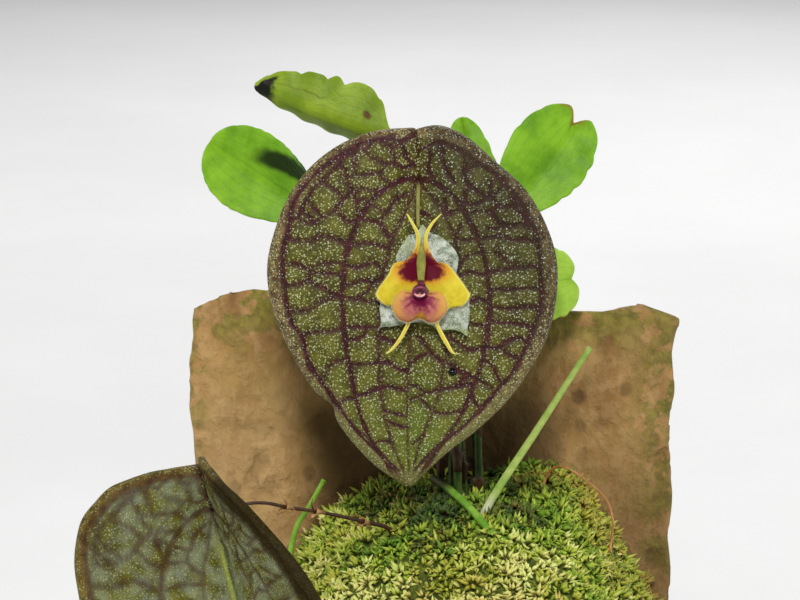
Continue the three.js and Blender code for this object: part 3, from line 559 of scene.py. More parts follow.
# %% The net of cross veins
CROSS_VEINS = [
    [(-1.7, 4), (-2.9, 3.5), (-4.3, 4.2), (-5.8, 3.2), (-6.6, 3.4)],
    [(-7.9, 2.4), (-8.4, 1.7), (-9.2, 0.9), (-10.4, -0.3), (-11.3, -1), (-11.7, -2.1), (-12.3, -2.6),
     (-12.6, -3.3), (-12.8, -4.1), (-13.6, -4.4)],
    [(-6.6, 3.4), (-7.5, 2.6), (-8.4, 1.7)],
    [(-5.8, 3.2), (-5.3, 2.5), (-4.2, 2), (-3.3, 1.7), (-2.5, 1.7), (-1.9, 1.3), (-0.6, 1.6)],
    [(-2.9, 3.5), (-2.7, 2.6), (-2.5, 1.7)], [(-1.8, 4), (-1.4, 2.5), (-0.6, 1.6)],
    [(-6.6, 3.4), (-6.9, 2.6), (-6.8, 1.6), (-6.6, 0.5)],
    [(-7.8, 0.4), (-6.6, 0.4), (-5.4, 0.6), (-4.1, 0.8), (-3.3, 1.7)],
    [(-4.1, 0.8), (-3.8, 0.2), (-3.1, -0.3), (-2.3, -0.4)],
    [(-8.4, 1.7), (-7.9, 1.1), (-7.8, 0.4), (-7.5, -0.5), (-6.9, -1.1), (-7.7, -1.9)],
    [(-10.4, -0.3), (-9.6, -0.6), (-9, -1), (-8.3, -1.6), (-7.7, -1.9), (-8.5, -2.6), (-9, -3.4),
     (-10.1, -4), (-11, -4.5), (-11.7, -4.7), (-12.8, -4.1)],
    [(-11.7, -2.1), (-11.3, -2.8), (-10.7, -3.4), (-10.1, -4)],
    [(-12.6, -3.3), (-11.7, -3.8), (-11.3, -4.3)],
    [(-6.7, -1.5), (-6.7, -2.3), (-6.4, -3.2), (-6.4, -4), (-6.9, -4.4), (-7.7, -4.4), (-8.1, -4),
     (-8.5, -3.4), (-9, -3.4)],
    [(-6.7, -1.5), (-6.1, -1), (-5.3, -1.1), (-4.3, -1.2)], [(-6.7, -2.3), (-5.8, -2.1), (-5.2, -2.7)],
    [(-6.9, -4.4), (-6.4, -4.8)],
    [(-14, -6.3), (-12.5, -6.5), (-11.7, -6.6), (-11.2, -6.4), (-10.5, -6), (-9.6, -6.1), (-8.5, -6.4),
     (-7.5, -7)],
    [(-14.3, -8.9), (-12.7, -9), (-11.7, -9.5), (-11.4, -9.8)],
    [(-11.7, -9.5), (-10.5, -9), (-9.6, -8.8), (-8, -8.9)],
    [(-11.4, -9.8), (-10.7, -9.9), (-9.9, -9.9), (-9.1, -10), (-8.1, -10.1)],
    [(-11.4, -9.8), (-11.7, -10.6), (-12.6, -11.1), (-14.1, -11.3)],
    [(-11.7, -10.6), (-11, -11.2), (-10.2, -11.4), (-9.2, -12.1), (-8.1, -12.4)],
    [(-5.8, -4.3), (-4.9, -4.4), (-4, -4.7), (-3.5, -5.6), (-2.9, -6.2)],
    [(-3.3, -3.5), (-3.8, -4), (-4, -4.7)],
    [(-4.9, -2.7), (-4.1, -3.2), (-3.3, -3.5), (-2.6, -2.2), (-1.4, -1.5)],
    [(-7.2, -6.9), (-6.4, -6.8), (-5.5, -6.7), (-4.3, -7), (-3.1, -7.4)],
    [(-7.6, -9.1), (-6.4, -9.3), (-5.6, -9.1), (-4.8, -8.8), (-4, -9.3), (-3.6, -9.8)],
    [(-7.8, -11.1), (-7, -11.1), (-5.7, -10.7), (-4.9, -11), (-5.4, -11.8), (-6.4, -12.4)],
    [(-4.9, -11), (-3.8, -10.4)], [(2.1, 4), (2.5, 3.1), (2.7, 2.1), (3.1, 0.8), (3.9, -0.3)],
    [(4.8, 2.8), (5, 1.6), (4.8, 0.5)],
    [(6.4, 1.7), (5.5, 1.2), (4.8, 0.5), (5.2, -0.5), (6.5, -1.4), (7.4, -1.9), (8.1, -2.2), (8.5, -2.7),
     (9.8, -2.8), (10.4, -2.8)],
    [(8.2, 0.4), (7.6, -0.5), (7.6, -1.2), (7.4, -1.9)], [(9, -0.5), (8.3, -1.4), (7.6, -1.9)],
    [(5.2, -0.5), (4.9, -1.6), (4.8, -2.7), (4.7, -3.2)], [(4.9, -2.6), (6.2, -2.6), (7.4, -1.9)],
    [(9.8, -1.6), (10.3, -2.8), (11.1, -3.8), (11.8, -5.3)],
    [(5.4, -3.5), (6.6, -3.3), (7.8, -3.4), (8.5, -2.7)],
    [(7.8, -3.4), (8.2, -4.2), (9.1, -4.8), (9.9, -4.9), (11, -4.7), (11.7, -5)],
    [(9.1, -4.8), (8.1, -5.2), (7.4, -5.2)],
    [(6.3, -6.4), (7.6, -6.1), (8.4, -6), (9.2, -6.1), (10, -6.4), (11.3, -6.3), (12.1, -6.5)],
    [(8.2, -7.7), (8.7, -8.1), (9.6, -8.8), (10.4, -9.3), (11.4, -9.4), (12, -9.1), (12.8, -9.6)],
    [(7.3, -9.8), (8.6, -9.6), (10.4, -9.3)],
    [(7.4, -11.6), (8.4, -11.6), (9.7, -11.7), (11.3, -11.5), (12.8, -11.5)],
    [(2.8, -2.1), (2.9, -2.9), (3.1, -3.7), (4.2, -3.2), (5, -3.4)],
    [(4.4, -4.8), (4.3, -5.4), (3.8, -6.1), (4.5, -6.4), (5.4, -6.4), (6.2, -6.2)],
    [(4.4, -9.1), (4.9, -8.3), (5.8, -7.9), (6.5, -7.8)], [(4.4, -10.2), (5.6, -9.8), (7, -10.2)],
    [(0, -3.5), (1, -3.8), (1.4, -4.2), (1.7, -4.9), (1.4, -5.4)],
    [(1.1, 3.5), (1.3, 2.3), (1, 1.2), (1.7, 0.3)],
    [(-13.7, -13.9), (-11.8, -13.9), (-11.3, -13.7), (-10.6, -13), (-9.8, -12.8), (-8.9, -12.4),
     (-8.1, -12.4)],
    [(-8, -12.4), (-6.8, -12.7), (-6.1, -12.6), (-5.5, -13), (-4.7, -12.9), (-4, -13.2)],
    [(-12.4, -16.8), (-11.7, -16.3), (-10.6, -16.1), (-9.6, -16.1), (-8.9, -15.9), (-8, -15.7)],
    [(-7.8, -15.6), (-6, -15.7), (-4.3, -15.6)], [(-5.5, -15.7), (-5.8, -16.5), (-6.5, -16.9), (-7.7, -17)],
    [(-7.7, -19), (-8.9, -19.4), (-9.5, -19.9), (-10.1, -21.2)],
    [(-7.3, -19.6), (-5.7, -19.6), (-4.2, -19.4)], [(-4.1, -16.7), (-3, -17.1), (-2.3, -17.3)],
    [(-4.1, -19.4), (-3.1, -19.4), (-2.2, -20.1), (-1.1, -20.2)],
    [(-6.5, -22.9), (-5.5, -22.7), (-4.8, -22.3), (-4, -22.1)],
    [(-3.8, -22.1), (-3, -21.9), (-2.3, -22.2), (-1.2, -22.3)],
    [(-8.4, -23.9), (-7.6, -23.2), (-6.5, -23.3)], [(-3.7, -24.5), (-2.8, -24.7), (-1.3, -25.1)],
    [(-3.3, -25.6), (-1.8, -26.2), (-1.2, -26.3)], [(-5.8, -27), (-4.7, -28), (-4, -27.7), (-3, -27.8)],
    [(5.3, -12.8), (5.8, -12.9), (6.2, -12.6), (7.3, -12.9)],
    [(7.6, -13.5), (9.8, -13.7), (11.3, -13.5), (13, -13.6)], [(5.4, -15.1), (6.1, -15.4), (7.2, -15.5)],
    [(7.6, -14.9), (8.9, -15.2), (10.8, -15.3), (12.4, -15.7)],
    [(2.9, -16.4), (3.7, -17), (4.5, -17.5), (5.5, -18.1), (6.2, -18), (6.9, -17.8)],
    [(7.2, -17.7), (8.5, -17.8), (9.6, -17), (10.3, -16.8), (11.1, -17), (11.9, -17.5)],
    [(8.7, -17.8), (9.4, -18.5), (10.7, -18.9)], [(7, -19.1), (7.9, -19.9), (8.3, -20.9), (8.9, -21.8)],
    [(6.2, -21.2), (7.3, -21.8), (8.1, -22.4)], [(5.6, -22.7), (6.2, -24), (6.7, -24.2)],
    [(0.1, -16.7), (1.3, -18.2), (2.5, -19.4)], [(-1, -19.6), (-0, -18.9), (1.3, -18.3)],
    [(3.1, -19.4), (3.9, -20), (4.5, -20.4), (5.4, -20.7)],
    [(-0.9, -21.8), (0.1, -22), (0.7, -22.6), (2.1, -22.3), (3.3, -22.1), (4, -21.9), (4.7, -21.2),
     (6.1, -20.9)],
    [(-0.9, -23.4), (0.1, -23), (0.7, -22.6)],
    [(0.3, -23.1), (1, -24), (1.6, -24.6), (2.8, -24.8), (4.3, -24.6)],
    [(4.1, -22), (5.2, -21.7), (6, -21.5)], [(-0.7, -28.1), (-0, -27.6), (0.6, -27.2)],
]
print("cross veins:", len(CROSS_VEINS))


# %% The leaf's grid
def edge_points(edge, shares):
    """The seam runs straight up from the stalk, and the edge goes round from there to the tip."""
    seam = math.hypot(*edge[0])
    path = np.vstack([[(0.0, 0.0)], smooth_curve(edge, 400)])
    total = np.linalg.norm(np.diff(path, axis=0), axis=1).sum()
    part, seam_share = seam / total, 0.09
    t = np.where(
        shares < seam_share,
        part * shares / seam_share,
        part + (1 - part) * np.clip((shares - seam_share) / (1 - seam_share), 0, 1) ** 0.92,
    )
    return along(path, t)


def leaf_grid(edges, rows, columns):
    """Points between the seven lines. columns gives the steps from an edge to the main vein,
    from there to the inner vein, and from there to the midrib."""
    t = np.linspace(0, 1, rows)
    lines = [edge_points(edges[0], t)]
    inside = ((MAIN_LEFT, 0.9), (INNER_LEFT, 1), (MIDRIB, 1), (INNER_RIGHT, 1), (MAIN_RIGHT, 0.9))
    for line, power in inside:
        lines.append(along(smooth_curve(line, 400), t**power))
    lines.append(edge_points(edges[1], t))
    strips = []
    for k, steps in enumerate([*columns, *columns[::-1]]):
        share = np.arange(steps)[None, :, None] / steps
        strips.append(lines[k][:, None] * (1 - share) + lines[k + 1][:, None] * share)
    strips.append(lines[-1][:, None])
    return np.concatenate(strips, axis=1)


def distance_to(points, path):
    """Each point's distance to the nearest piece of a flat path."""
    best = np.full(len(points), 1e9)
    for a, b in zip(path[:-1], path[1:]):
        step = b - a
        share = np.clip(((points - a) @ step) / max(step @ step, 1e-9), 0, 1)
        best = np.minimum(best, np.hypot(*(points - a - share[:, None] * step).T))
    return best


def vein_masks(points):
    """The veins, and a wide soft halo round them. The noise makes their edges waver, and both grow
    thinner towards the tip."""
    wobble = 0.09 * layered_rough(np.column_stack([points, np.zeros(len(points))]), 1.1, seed=3)
    near_tip = falling(points[:, 1], -31, -20)
    vein, halo = np.zeros(len(points)), np.zeros(len(points))
    drawn = [
        (smooth_curve(line, 60), width, strength)
        for line, width, strength in [
            (MAIN_LEFT, 0.4, 1), (MAIN_RIGHT, 0.4, 0.95), (INNER_LEFT, 0.3, 0.8),
            (INNER_RIGHT, 0.3, 0.75), (MIDRIB, 0.26, 0.7), (RIM_VEIN_LEFT, 0.4, 1),
            (RIM_VEIN_RIGHT, 0.38, 0.95),
        ]
    ]
    drawn += [(smooth_curve(line, 11), 0.3, 0.95) for line in CROSS_VEINS]
    for path, width, strength in drawn:
        d = distance_to(points, path) + wobble
        width = width * (1 - 0.25 * near_tip)
        vein = np.maximum(vein, strength * falling(d, 0.35 * width, width))
        halo = np.maximum(halo, strength * np.exp(-((d / 0.65) ** 2)))
    at_tip = falling(points[:, 1], -31.8, -30.3)
    return vein * (1 - 0.8 * at_tip), halo * (1 - 0.6 * near_tip)


# %% [markdown]
# The height of the blade follows the solid: a shallow dome with a groove along the midrib and a
# funnel at the stalk. The margin rolls back like a thick round cord, and the tissue between the
# veins swells a little, so that the net lies in fine furrows.

# %% The leaf's height and its layers
ROLL_WIDTH = 1.25
ROLL_DEPTH = 0.9
LEAF_HALF = 0.36
SEAM_TOP = np.array([-0.3, 5.25])
CREASE_SLOPE = 0.031


def leaf_height(points, rim_distance, closed):
    x, y = points.T
    height = 1.1 * (1 - (x / 17) ** 2 - ((y + 12) / 24) ** 2)
    height -= 0.45 * np.exp(-(((x + 0.6) / 1.3) ** 2))
    height -= 0.8 * np.exp(-(x * x + y * y) / 9)
    over = np.clip(1 - rim_distance / ROLL_WIDTH, 0, 1)
    height -= ROLL_DEPTH * (1 - np.sqrt(1 - over**2 * 0.96))
    if closed:
        seam = distance_to(points, np.array([[0.0, 0.0], SEAM_TOP]))
        height -= 0.4 * np.exp(-((seam / 0.35) ** 2))
        height += 0.3 * np.exp(-((seam / 1.6) ** 2)) * (x < SEAM_TOP[0] * y / SEAM_TOP[1])
    return height


def net_leaf(name, node_name, edges, margins, rows, columns, bend, matrix, material, painted_shade):
    """The last argument is the rule for painted shade: how dark the skin is painted at x, y and a distance
    from the rim.
    """
    grid = leaf_grid(edges, rows, columns)
    flat = grid.reshape(-1, 2)
    rim_distance = np.minimum(*[distance_to(flat, smooth_curve(edge, 240)) for edge in edges])
    veins, halo = vein_masks(leaf_grid((EDGE_LEFT, edges[1]), rows, columns).reshape(-1, 2))
    height = leaf_height(flat, rim_distance, edges[1] is EDGE_RIGHT)
    lanes = np.column_stack([flat, np.zeros(len(flat))])
    relief = 0.06 - 0.12 * veins - 0.05 * halo + 0.05 * layered_rough(lanes, 3.5, seed=11)
    relief = (relief * smoothstep(rim_distance, 0, 0.5)).reshape(rows, -1)
    middle = bend(np.column_stack([flat, height])).reshape(rows, -1, 3)
    half = np.full(middle.shape[:2], LEAF_HALF)
    half[0], half[-1] = 0.1, 0.1
    points, faces, row, column, side = thick_sheet(middle, half, relief)
    index = row * grid.shape[1] + column
    seam = distance_to(flat, np.array([[0.0, 0.6], SEAM_TOP]))
    x, y = flat.T
    margin = np.where(x < 0.03 * y, *margins)
    values = {
        "vein": veins[index],
        "halo": halo[index],
        "rim": falling(rim_distance, 0.6 * margin, 1.1 * margin)[index],
        "brown": np.maximum(np.exp(-((seam / 0.45) ** 2)), 0.8 * np.exp(-(x * x + y * y) / 1.3))[index],
        "fresh": (falling(y, -30, -16) * np.exp(-(((x - 0.2) / 2.2) ** 2)))[index],
        "tip": falling(y, -29, -17)[index],
        "painted_shade": painted_shade(x, y, rim_distance)[index],
        "under": 1 - side,
    }
    if node_name == "leaf_low":
        crease = np.exp(-(((x - CREASE_SLOPE * y + 0.1) / 0.42) ** 2)) * falling(y, -6, -1)
        values["vein"] = values["vein"] * (1 - crease[index])
        values["fresh"] = 1.6 * crease[index]
    return make_piece(name, placed(points, matrix), faces, material, "net_leaf", [node_name], values)


# %% [markdown]
# The leaf's skin is olive with a brown-purple net. Each cell of the skin ends in a tiny clear bead,
# a papilla, that catches the light. That light is painted into the colour: the skin is a dense
# pavement of fine pale dots, partly the cells' own pale green and partly painted glints, on a darker
# ground, with brighter beads strewn over it as painted highlights. The dots also lift the surface.


# %% Net leaf material
def net_leaf_material(name, rim_dark, rim_light, underside, soft):
    """soft, from 0 to 1, gives a softer leaf: a weaker net, dimmer painted glints and pale patches that are
    partly a waxy bloom and partly a painted sheen.
    """
    made, tree, shader = new_material(name, Roughness=0.5, Specular_IOR_Level=0.16 - 0.1 * soft)
    vein = layer(tree, "vein")
    lane = mottled(tree, rgb(64, 62, 10), rgb(100, 99, 26), 1.6, seed=1.0, sharpness=0.6)
    lane = mix_by(tree, "tip", 0.5, lane, rgb(112, 120, 46))
    fresh = rgb(88, 112, 30) if soft == 0 else rgb(156, 168, 62)
    lane = mix_by(tree, "fresh", 0.6, lane, fresh)
    # Pale patches, partly a waxy bloom and partly a painted sheen, none where the leaf is fresh.
    bloom_and_sheen = grey_noise(tree, 2.0, seed=6.0, sharpness=0.7)
    no_fresh = minus(tree, 1.0, times(tree, layer(tree, "fresh"), 0.6))
    bloom_and_sheen = times(tree, times(tree, bloom_and_sheen, 0.4 * soft), no_fresh)
    lane = mix(tree, bloom_and_sheen, lane, rgb(158, 170, 146))
    colour = mix_by(tree, "halo", 0.72 - 0.4 * soft, lane, rgb(58, 30, 16))
    rim = mottled(tree, rim_dark, rim_light, 0.8, seed=2.0, sharpness=0.8)
    rim = mix_by(tree, "tip", 0.75, rim, rgb(126, 124, 72))
    colour = mix_by(tree, "rim", 0.9, colour, rim)
    purple = mottled(tree, rgb(38, 2, 14), rgb(64, 12, 28), 1.0, seed=3.0, sharpness=0.7)
    colour = mix(tree, times(tree, vein, 0.92 - 0.47 * soft), colour, purple)
    colour = mix_by(tree, "brown", 0.9, colour, rgb(60, 30, 12))
    under = mottled(tree, underside, rgb(96, 72, 44), 3.0, seed=4.0)
    colour = mix_by(tree, "under", 0.85, colour, under)
    top = minus(tree, 1.0, times(tree, layer(tree, "under"), 0.8))
    cells = specks(tree, 0.25, 0.5, 1.0)
    uneven = plus(tree, 0.12, times(tree, cells["Random"], 0.88 - 0.45 * soft))
    shine = times(tree, times(tree, cells["Mask"], uneven), top)
    # Painted glints: pale dots on the papillae, greyer in the painted shade and purple-grey on the veins.
    glint = mix(tree, layer(tree, "painted_shade"), rgb(186, 190, 128), rgb(200, 206, 184))
    colour = mix(tree, shine, colour, mix(tree, vein, glint, rgb(98, 56, 58)))
    # Painted highlights: the brightest beads, dimmer on the veins and, on a soft leaf, in the painted shade.
    bead_glints = times(tree, specks(tree, 0.36, 0.27, 0.6)["Mask"], top)
    dim = minus(tree, 0.95 - 0.5 * soft, times(tree, vein, 0.5))
    dim = minus(tree, dim, times(tree, layer(tree, "painted_shade"), 0.6 * soft))
    # Painted shade: the skin darkens towards a dark olive-brown where the blade turns from the light.
    colour = mix(tree, layer(tree, "painted_shade"), colour, rgb(34, 26, 2))
    colour = mix(tree, times(tree, bead_glints, dim), colour, rgb(222, 228, 206))
    paint(tree, shader, colour)
    tree.links.new(ease(tree, bead_glints, 0.0, 1.0, 0.55, 0.25), shader.inputs["Roughness"])
    bump(tree, shader, plus(tree, bead_glints, times(tree, cells["Mask"], 0.6)), 0.9, 0.0001)
    return made


def main_painted_shade(x, y, rim):
    """Painted shade: the right half near the notch is painted darker, as it turns a little from the light."""
    return 0.5 * smoothstep(x + 0.8 * y, -7, 6) * smoothstep(x, 0.2, 1.5)


net_skin = net_leaf_material("net_leaf_skin", rgb(74, 50, 34), rgb(124, 104, 66), rgb(88, 40, 50), 0.0)
leaf_main_matrix = TO_BASKET @ Matrix.Translation((1.97, 12.77, 0))
net_leaf("leaf_main_skin", "leaf_main", (EDGE_LEFT, EDGE_RIGHT), (1.25, 1.25), 215, (36, 18, 14),
         lambda p: p, leaf_main_matrix, net_skin, main_painted_shade)

# %% [markdown]
# The second leaf is the same kind of blade, with a rounder left half. It is folded along its
# midrib: the right half stands up towards the viewer, and its broad margin turns away into shade,
# which is painted into its skin as well.

# %% Low leaf
LOW_LOBE = 0.95


def low_leaf_bend(points):
    x, y, z = points.T
    crease = CREASE_SLOPE * y
    across = x - crease
    folded = np.radians(np.clip(74 + 1.4 * y, 14, 104)) * smoothstep(across, 0, 1.6)
    angle = np.where(across > 0, folded, math.radians(-10))
    return np.column_stack([
        crease + across * np.cos(angle),
        np.where(y > 0, LOW_LOBE * y, y),
        z + np.abs(across) * np.sin(np.abs(angle)) + 0.011 * np.minimum(y, 0) ** 2,
    ])


def low_painted_shade(x, y, rim):
    """Painted shade: the upright half is painted dark brown next to its margin, which turns away from the
    light.
    """
    return 0.9 * smoothstep(x, 0.2, 0.8) * falling(rim, 1.8, 3.4) * falling(y, 1, 4.5)


low_turn = Matrix.Rotation(math.radians(-8), 4, "X") @ Matrix.Rotation(math.radians(17), 4, "Z")
leaf_low_matrix = TO_BASKET @ Matrix.Translation((-19.3, -21.5, 12)) @ low_turn
# The dark rim and underside colours of this leaf are partly painted shade on its turned-away margin.
low_skin = net_leaf_material("low_leaf_skin", rgb(74, 58, 16), rgb(112, 92, 40), rgb(52, 44, 18), 1.0)
net_leaf("leaf_low_skin", "leaf_low", (LOW_EDGE_LEFT, LOW_EDGE_RIGHT), (1.2, 2.6), 160, (30, 15, 12),
         low_leaf_bend, leaf_low_matrix, low_skin, low_painted_shade)

# %% [markdown]
# ## The plain green leaves
#
# Five smooth leaves stand behind the net-veined one. They are broadest near the end, where the
# margin is scalloped. Faint lines run along the blade, and the light shines through a little, so
# the skin gets some subsurface scattering.


# %% Green leaf material
def green_leaf_material(name, dark, light, tip=(0, 0, 0, 1), tip_at=2.0, stain_and_shadow_colour=(0, 0, 0, 1)):
    made, tree, shader = new_material(name, Roughness=0.45, Specular_IOR_Level=0.16,
                                      Subsurface_Weight=0.15, Subsurface_Scale=0.002)
    shader.inputs["Subsurface Radius"].default_value = (0.6, 1.0, 0.2)
    colour = mottled(tree, dark, light, 4.0)
    across = times(tree, layer(tree, "across"), 4.5)
    stripe = calc(tree, "PINGPONG", across, 0.5)
    stripe = times(tree, ease(tree, stripe, 0.0, 0.2, 1.0, 0.0), 0.2)
    colour = mix(tree, stripe, colour, dark)
    wave = grey_noise(tree, 1.5, seed=7.0)
    reach = plus(tree, layer(tree, "along"), times(tree, wave, 0.06))
    stained = times(tree, ease(tree, reach, tip_at, tip_at + 0.05),
                   ease(tree, layer(tree, "across"), 0.7, 0.9, 1.0, 0.0))
    colour = mix(tree, stained, colour, tip)
    # The painted shadow of the left leaf and the brown stains of the top leaf, with a wavering edge.
    stain_and_shadow = plus(tree, layer(tree, "stain_and_shadow"), swing(tree, wave, 0.15))
    colour = mix(tree, ease(tree, stain_and_shadow, 0.1, 0.9, 0.0, 0.95), colour, stain_and_shadow_colour)
    paint(tree, shader, colour)
    skin = grey_noise(tree, 0.6, seed=8.0)
    bump(tree, shader, minus(tree, skin, times(tree, stripe, 2.0)), 0.25, 0.00012)
    return made


fresh_green = (rgb(92, 140, 22), rgb(134, 180, 40))
olive_green = (rgb(104, 128, 22), rgb(144, 166, 44))
green_skins = {
    # The left leaf's dark green patch is a painted shadow.
    "left": green_leaf_material("green_skin_left", *fresh_green, stain_and_shadow_colour=rgb(14, 26, 2)),
    "top": green_leaf_material("green_skin_top", *olive_green, rgb(18, 18, 10), 0.87, rgb(84, 46, 8)),
    "narrow": green_leaf_material("green_skin_narrow", *fresh_green),
    "right": green_leaf_material("green_skin_right", *fresh_green, rgb(132, 112, 36), 0.965),
    "beside": green_leaf_material("green_skin_beside", rgb(122, 160, 44), rgb(162, 196, 72)),
}

# %% Green leaves
GREEN_LEAVES = {
    # base, tip, half width, widest part, fold, arch, turn of the face, scallops, their depth above
    # and below the midrib, and the depth of the notch in the tip
    "left": ((-6.1, 7.7, -13), (-21.2, 17.7, -17), 4.6, 0.66, 14, 0.8, 0, 12, 0.02, 0.02, 0),
    "top": ((-1.1, 17.3, -6.5), (-15.7, 23.2, -8), 4.7, 0.24, -36, 0.4, -36, 5.2, 0.15, 0.01, 0),
    "narrow": ((9.6, 7.4, -11), (6.7, 20.1, -12), 2.7, 0.36, 10, 0.5, 0, 6, 0.05, 0.03, 0),
    "right": ((9.7, 7.1, -15), (20.4, 21.1, -17.5), 4.7, 0.62, 12, 0.8, 0, 7, 0.05, 0.03, 1.7),
    "beside": ((10.6, 0.7, -11), (19.7, 2.5, -14), 4, 0.6, 10, 0.4, 0, 6, 0.05, 0.05, 0.8),
}
LOWER_AND_UPPER = {"left": (1.1, 0.95), "top": (0.75, 1)}  # widths of a lopsided leaf's halves


def stain_and_shadow_of(name, s, across):
    """Where a leaf is darkened: a painted shadow on the left leaf's upper half, and a round brown stain
    and a stained streak on the top leaf.
    """
    if name == "left":
        middle = 0.42 + 1.38 * (0.68 - s)
        return falling(np.abs(across - middle), 0.08, 0.42) * (1 - smoothstep(s, 0.56, 0.82))
    if name == "top":
        spot = 1.3 * np.exp(-(((s - 0.21) / 0.03) ** 2) - ((across - 0.42) / 0.09) ** 2)
        line = 0.45 * np.exp(-(((across - 0.3 - 0.25 * s) / 0.05) ** 2)) * smoothstep(s, 0.35, 0.6)
        return np.maximum(spot, line)
    return 0 * s


def blade_outline(name, s, across, half_width, widest, scallops, above, below):
    """The blade's width, as a share, and each point's distance from the midrib. The margins are
    scalloped, above and below the midrib by different depths."""
    narrow = 0.16 + 0.84 * smoothstep(s, -0.1 * widest, widest)
    past = np.clip((s - widest) / (1 - widest), 0, 1)
    width = np.where(s < widest, narrow, np.sqrt(np.maximum(0, 1 - past**2)))
    wander = 0.05 * rough(np.column_stack([s, s, s]), 0.2, seed=4)
    notch = 1 - np.abs(np.sin(np.pi * scallops * (s + wander)))
    notch_other = 1 - np.abs(np.sin(np.pi * (scallops * (s - wander) + 0.4)))
    lobed = np.where(across > 0, above * notch[:, None], below * notch_other[:, None])
    reach = width[:, None] * across * half_width * (1 - lobed * smoothstep(s, 0.05, 0.25)[:, None])
    lower, upper = LOWER_AND_UPPER.get(name, (1, 1))
    return width, reach * np.where(across > 0, upper, lower)


def green_leaf(name, base, tip, half_width, widest, fold, arch, turn, scallops, above, below, tip_notch):
    base, tip = np.array(base, float), np.array(tip, float)
    length = np.linalg.norm(tip - base)
    forward = (tip - base) / length
    spin = Matrix.Rotation(math.radians(turn), 3, forward.tolist())
    facing = np.array(spin) @ [0, 0, 1]
    sideways = unit(np.cross(forward, facing))
    up = np.cross(sideways, forward)
    rows, columns = 90, 41
    s = 1 - (1 - np.linspace(0, 1, rows)) ** 1.5
    across = np.linspace(-1, 1, columns)
    width, reach = blade_outline(name, s, across, half_width, widest, scallops, above, below)
    angle = math.radians(fold)
    lift = np.abs(reach) * math.sin(angle) + (arch * np.sin(np.pi * s))[:, None]
    lift = lift + 1.2 * above * np.sin(2 * np.pi * scallops * s)[:, None] * across**2
    lift = lift - 0.22 * np.exp(-((across * width[:, None] * 9) ** 2))
    notched = tip_notch * np.exp(-((reach / 0.9) ** 2)) * smoothstep(s, 0.75, 1)[:, None]
    ahead = s[:, None] * length - notched
    middle = (
        base
        + ahead[..., None] * forward
        + (reach * math.cos(angle))[..., None] * sideways
        + lift[..., None] * up
    )
    half = np.full((rows, columns), 0.3) * (1 - 0.45 * np.abs(across) ** 6)
    half[-1] = 0.05
    points, faces, row, column, side = thick_sheet(middle, half)
    values = {"along": s[row], "across": across[column], "stain_and_shadow": stain_and_shadow_of(name, s[row], across[column])}
    points = placed(points)
    points[:, 2] = np.minimum(points[:, 2], cad_box[1][2] / MM - 0.02)
    make_piece(f"green_blade_{name}", points, faces, green_skins[name], "green_leaf",
               [f"leaf_green_{name}"], values)


for leaf_name, leaf_shape in GREEN_LEAVES.items():
    green_leaf(leaf_name, *leaf_shape)

# %% [markdown]
# ## Stems and shoots
#
# Every leaf stands on a wiry stem, the ramicaul. Dry sheaths clasp the older ones: each is a small
# trumpet with a fringed rim, and it ends abruptly. Tubes with changing radius make the stems, and
# a sheath is a closed profile turned round the stem's line.


# %% Stem materials
def stem_material(name, dark, light, base_colour=None):
    made, tree, shader = new_material(name, Roughness=0.5, Specular_IOR_Level=0.25)
    colour = mottled(tree, dark, light, 1.6, sharpness=0.7)
    if base_colour:
        colour = mix(tree, ease(tree, layer(tree, "along"), 0.12, 0.3, 1.0, 0.0), colour, base_colour)
    paint(tree, shader, colour)
    bump(tree, shader, grey_noise(tree, 0.3, seed=3.0), 0.4, 0.00008)
    return made


# The stems behind the big leaf get dark greens: painted shade, for they stand in its shadow.
green_stem = stem_material("stem_green", rgb(32, 54, 10), rgb(64, 90, 24))
bright_stem = stem_material("stem_bright", rgb(96, 146, 34), rgb(132, 172, 58))
# The short shoot darkens at its start: painted shade where it runs into the shadow behind the leaf.
short_stem = stem_material("stem_short", rgb(96, 146, 34), rgb(132, 172, 58), rgb(50, 56, 14))
long_stem = stem_material("stem_long", rgb(128, 158, 62), rgb(164, 180, 92), rgb(226, 222, 208))
dry_stem = stem_material("stem_dry", rgb(40, 24, 14), rgb(76, 50, 32))
sheath_skin = stem_material("sheath_dry", rgb(120, 84, 44), rgb(196, 152, 96))
# A darker copy of the sheath colours, for the sheaths on the stems behind the big leaf: painted shade.
sheath_skin_painted_shade = stem_material("sheath_painted_shade", rgb(48, 32, 18), rgb(84, 60, 36))
stalk_skin = stem_material("stalk_pale", rgb(108, 106, 44), rgb(140, 136, 68))


# %% Stems
def in_basket(points):
    return placed(np.array(points, float))


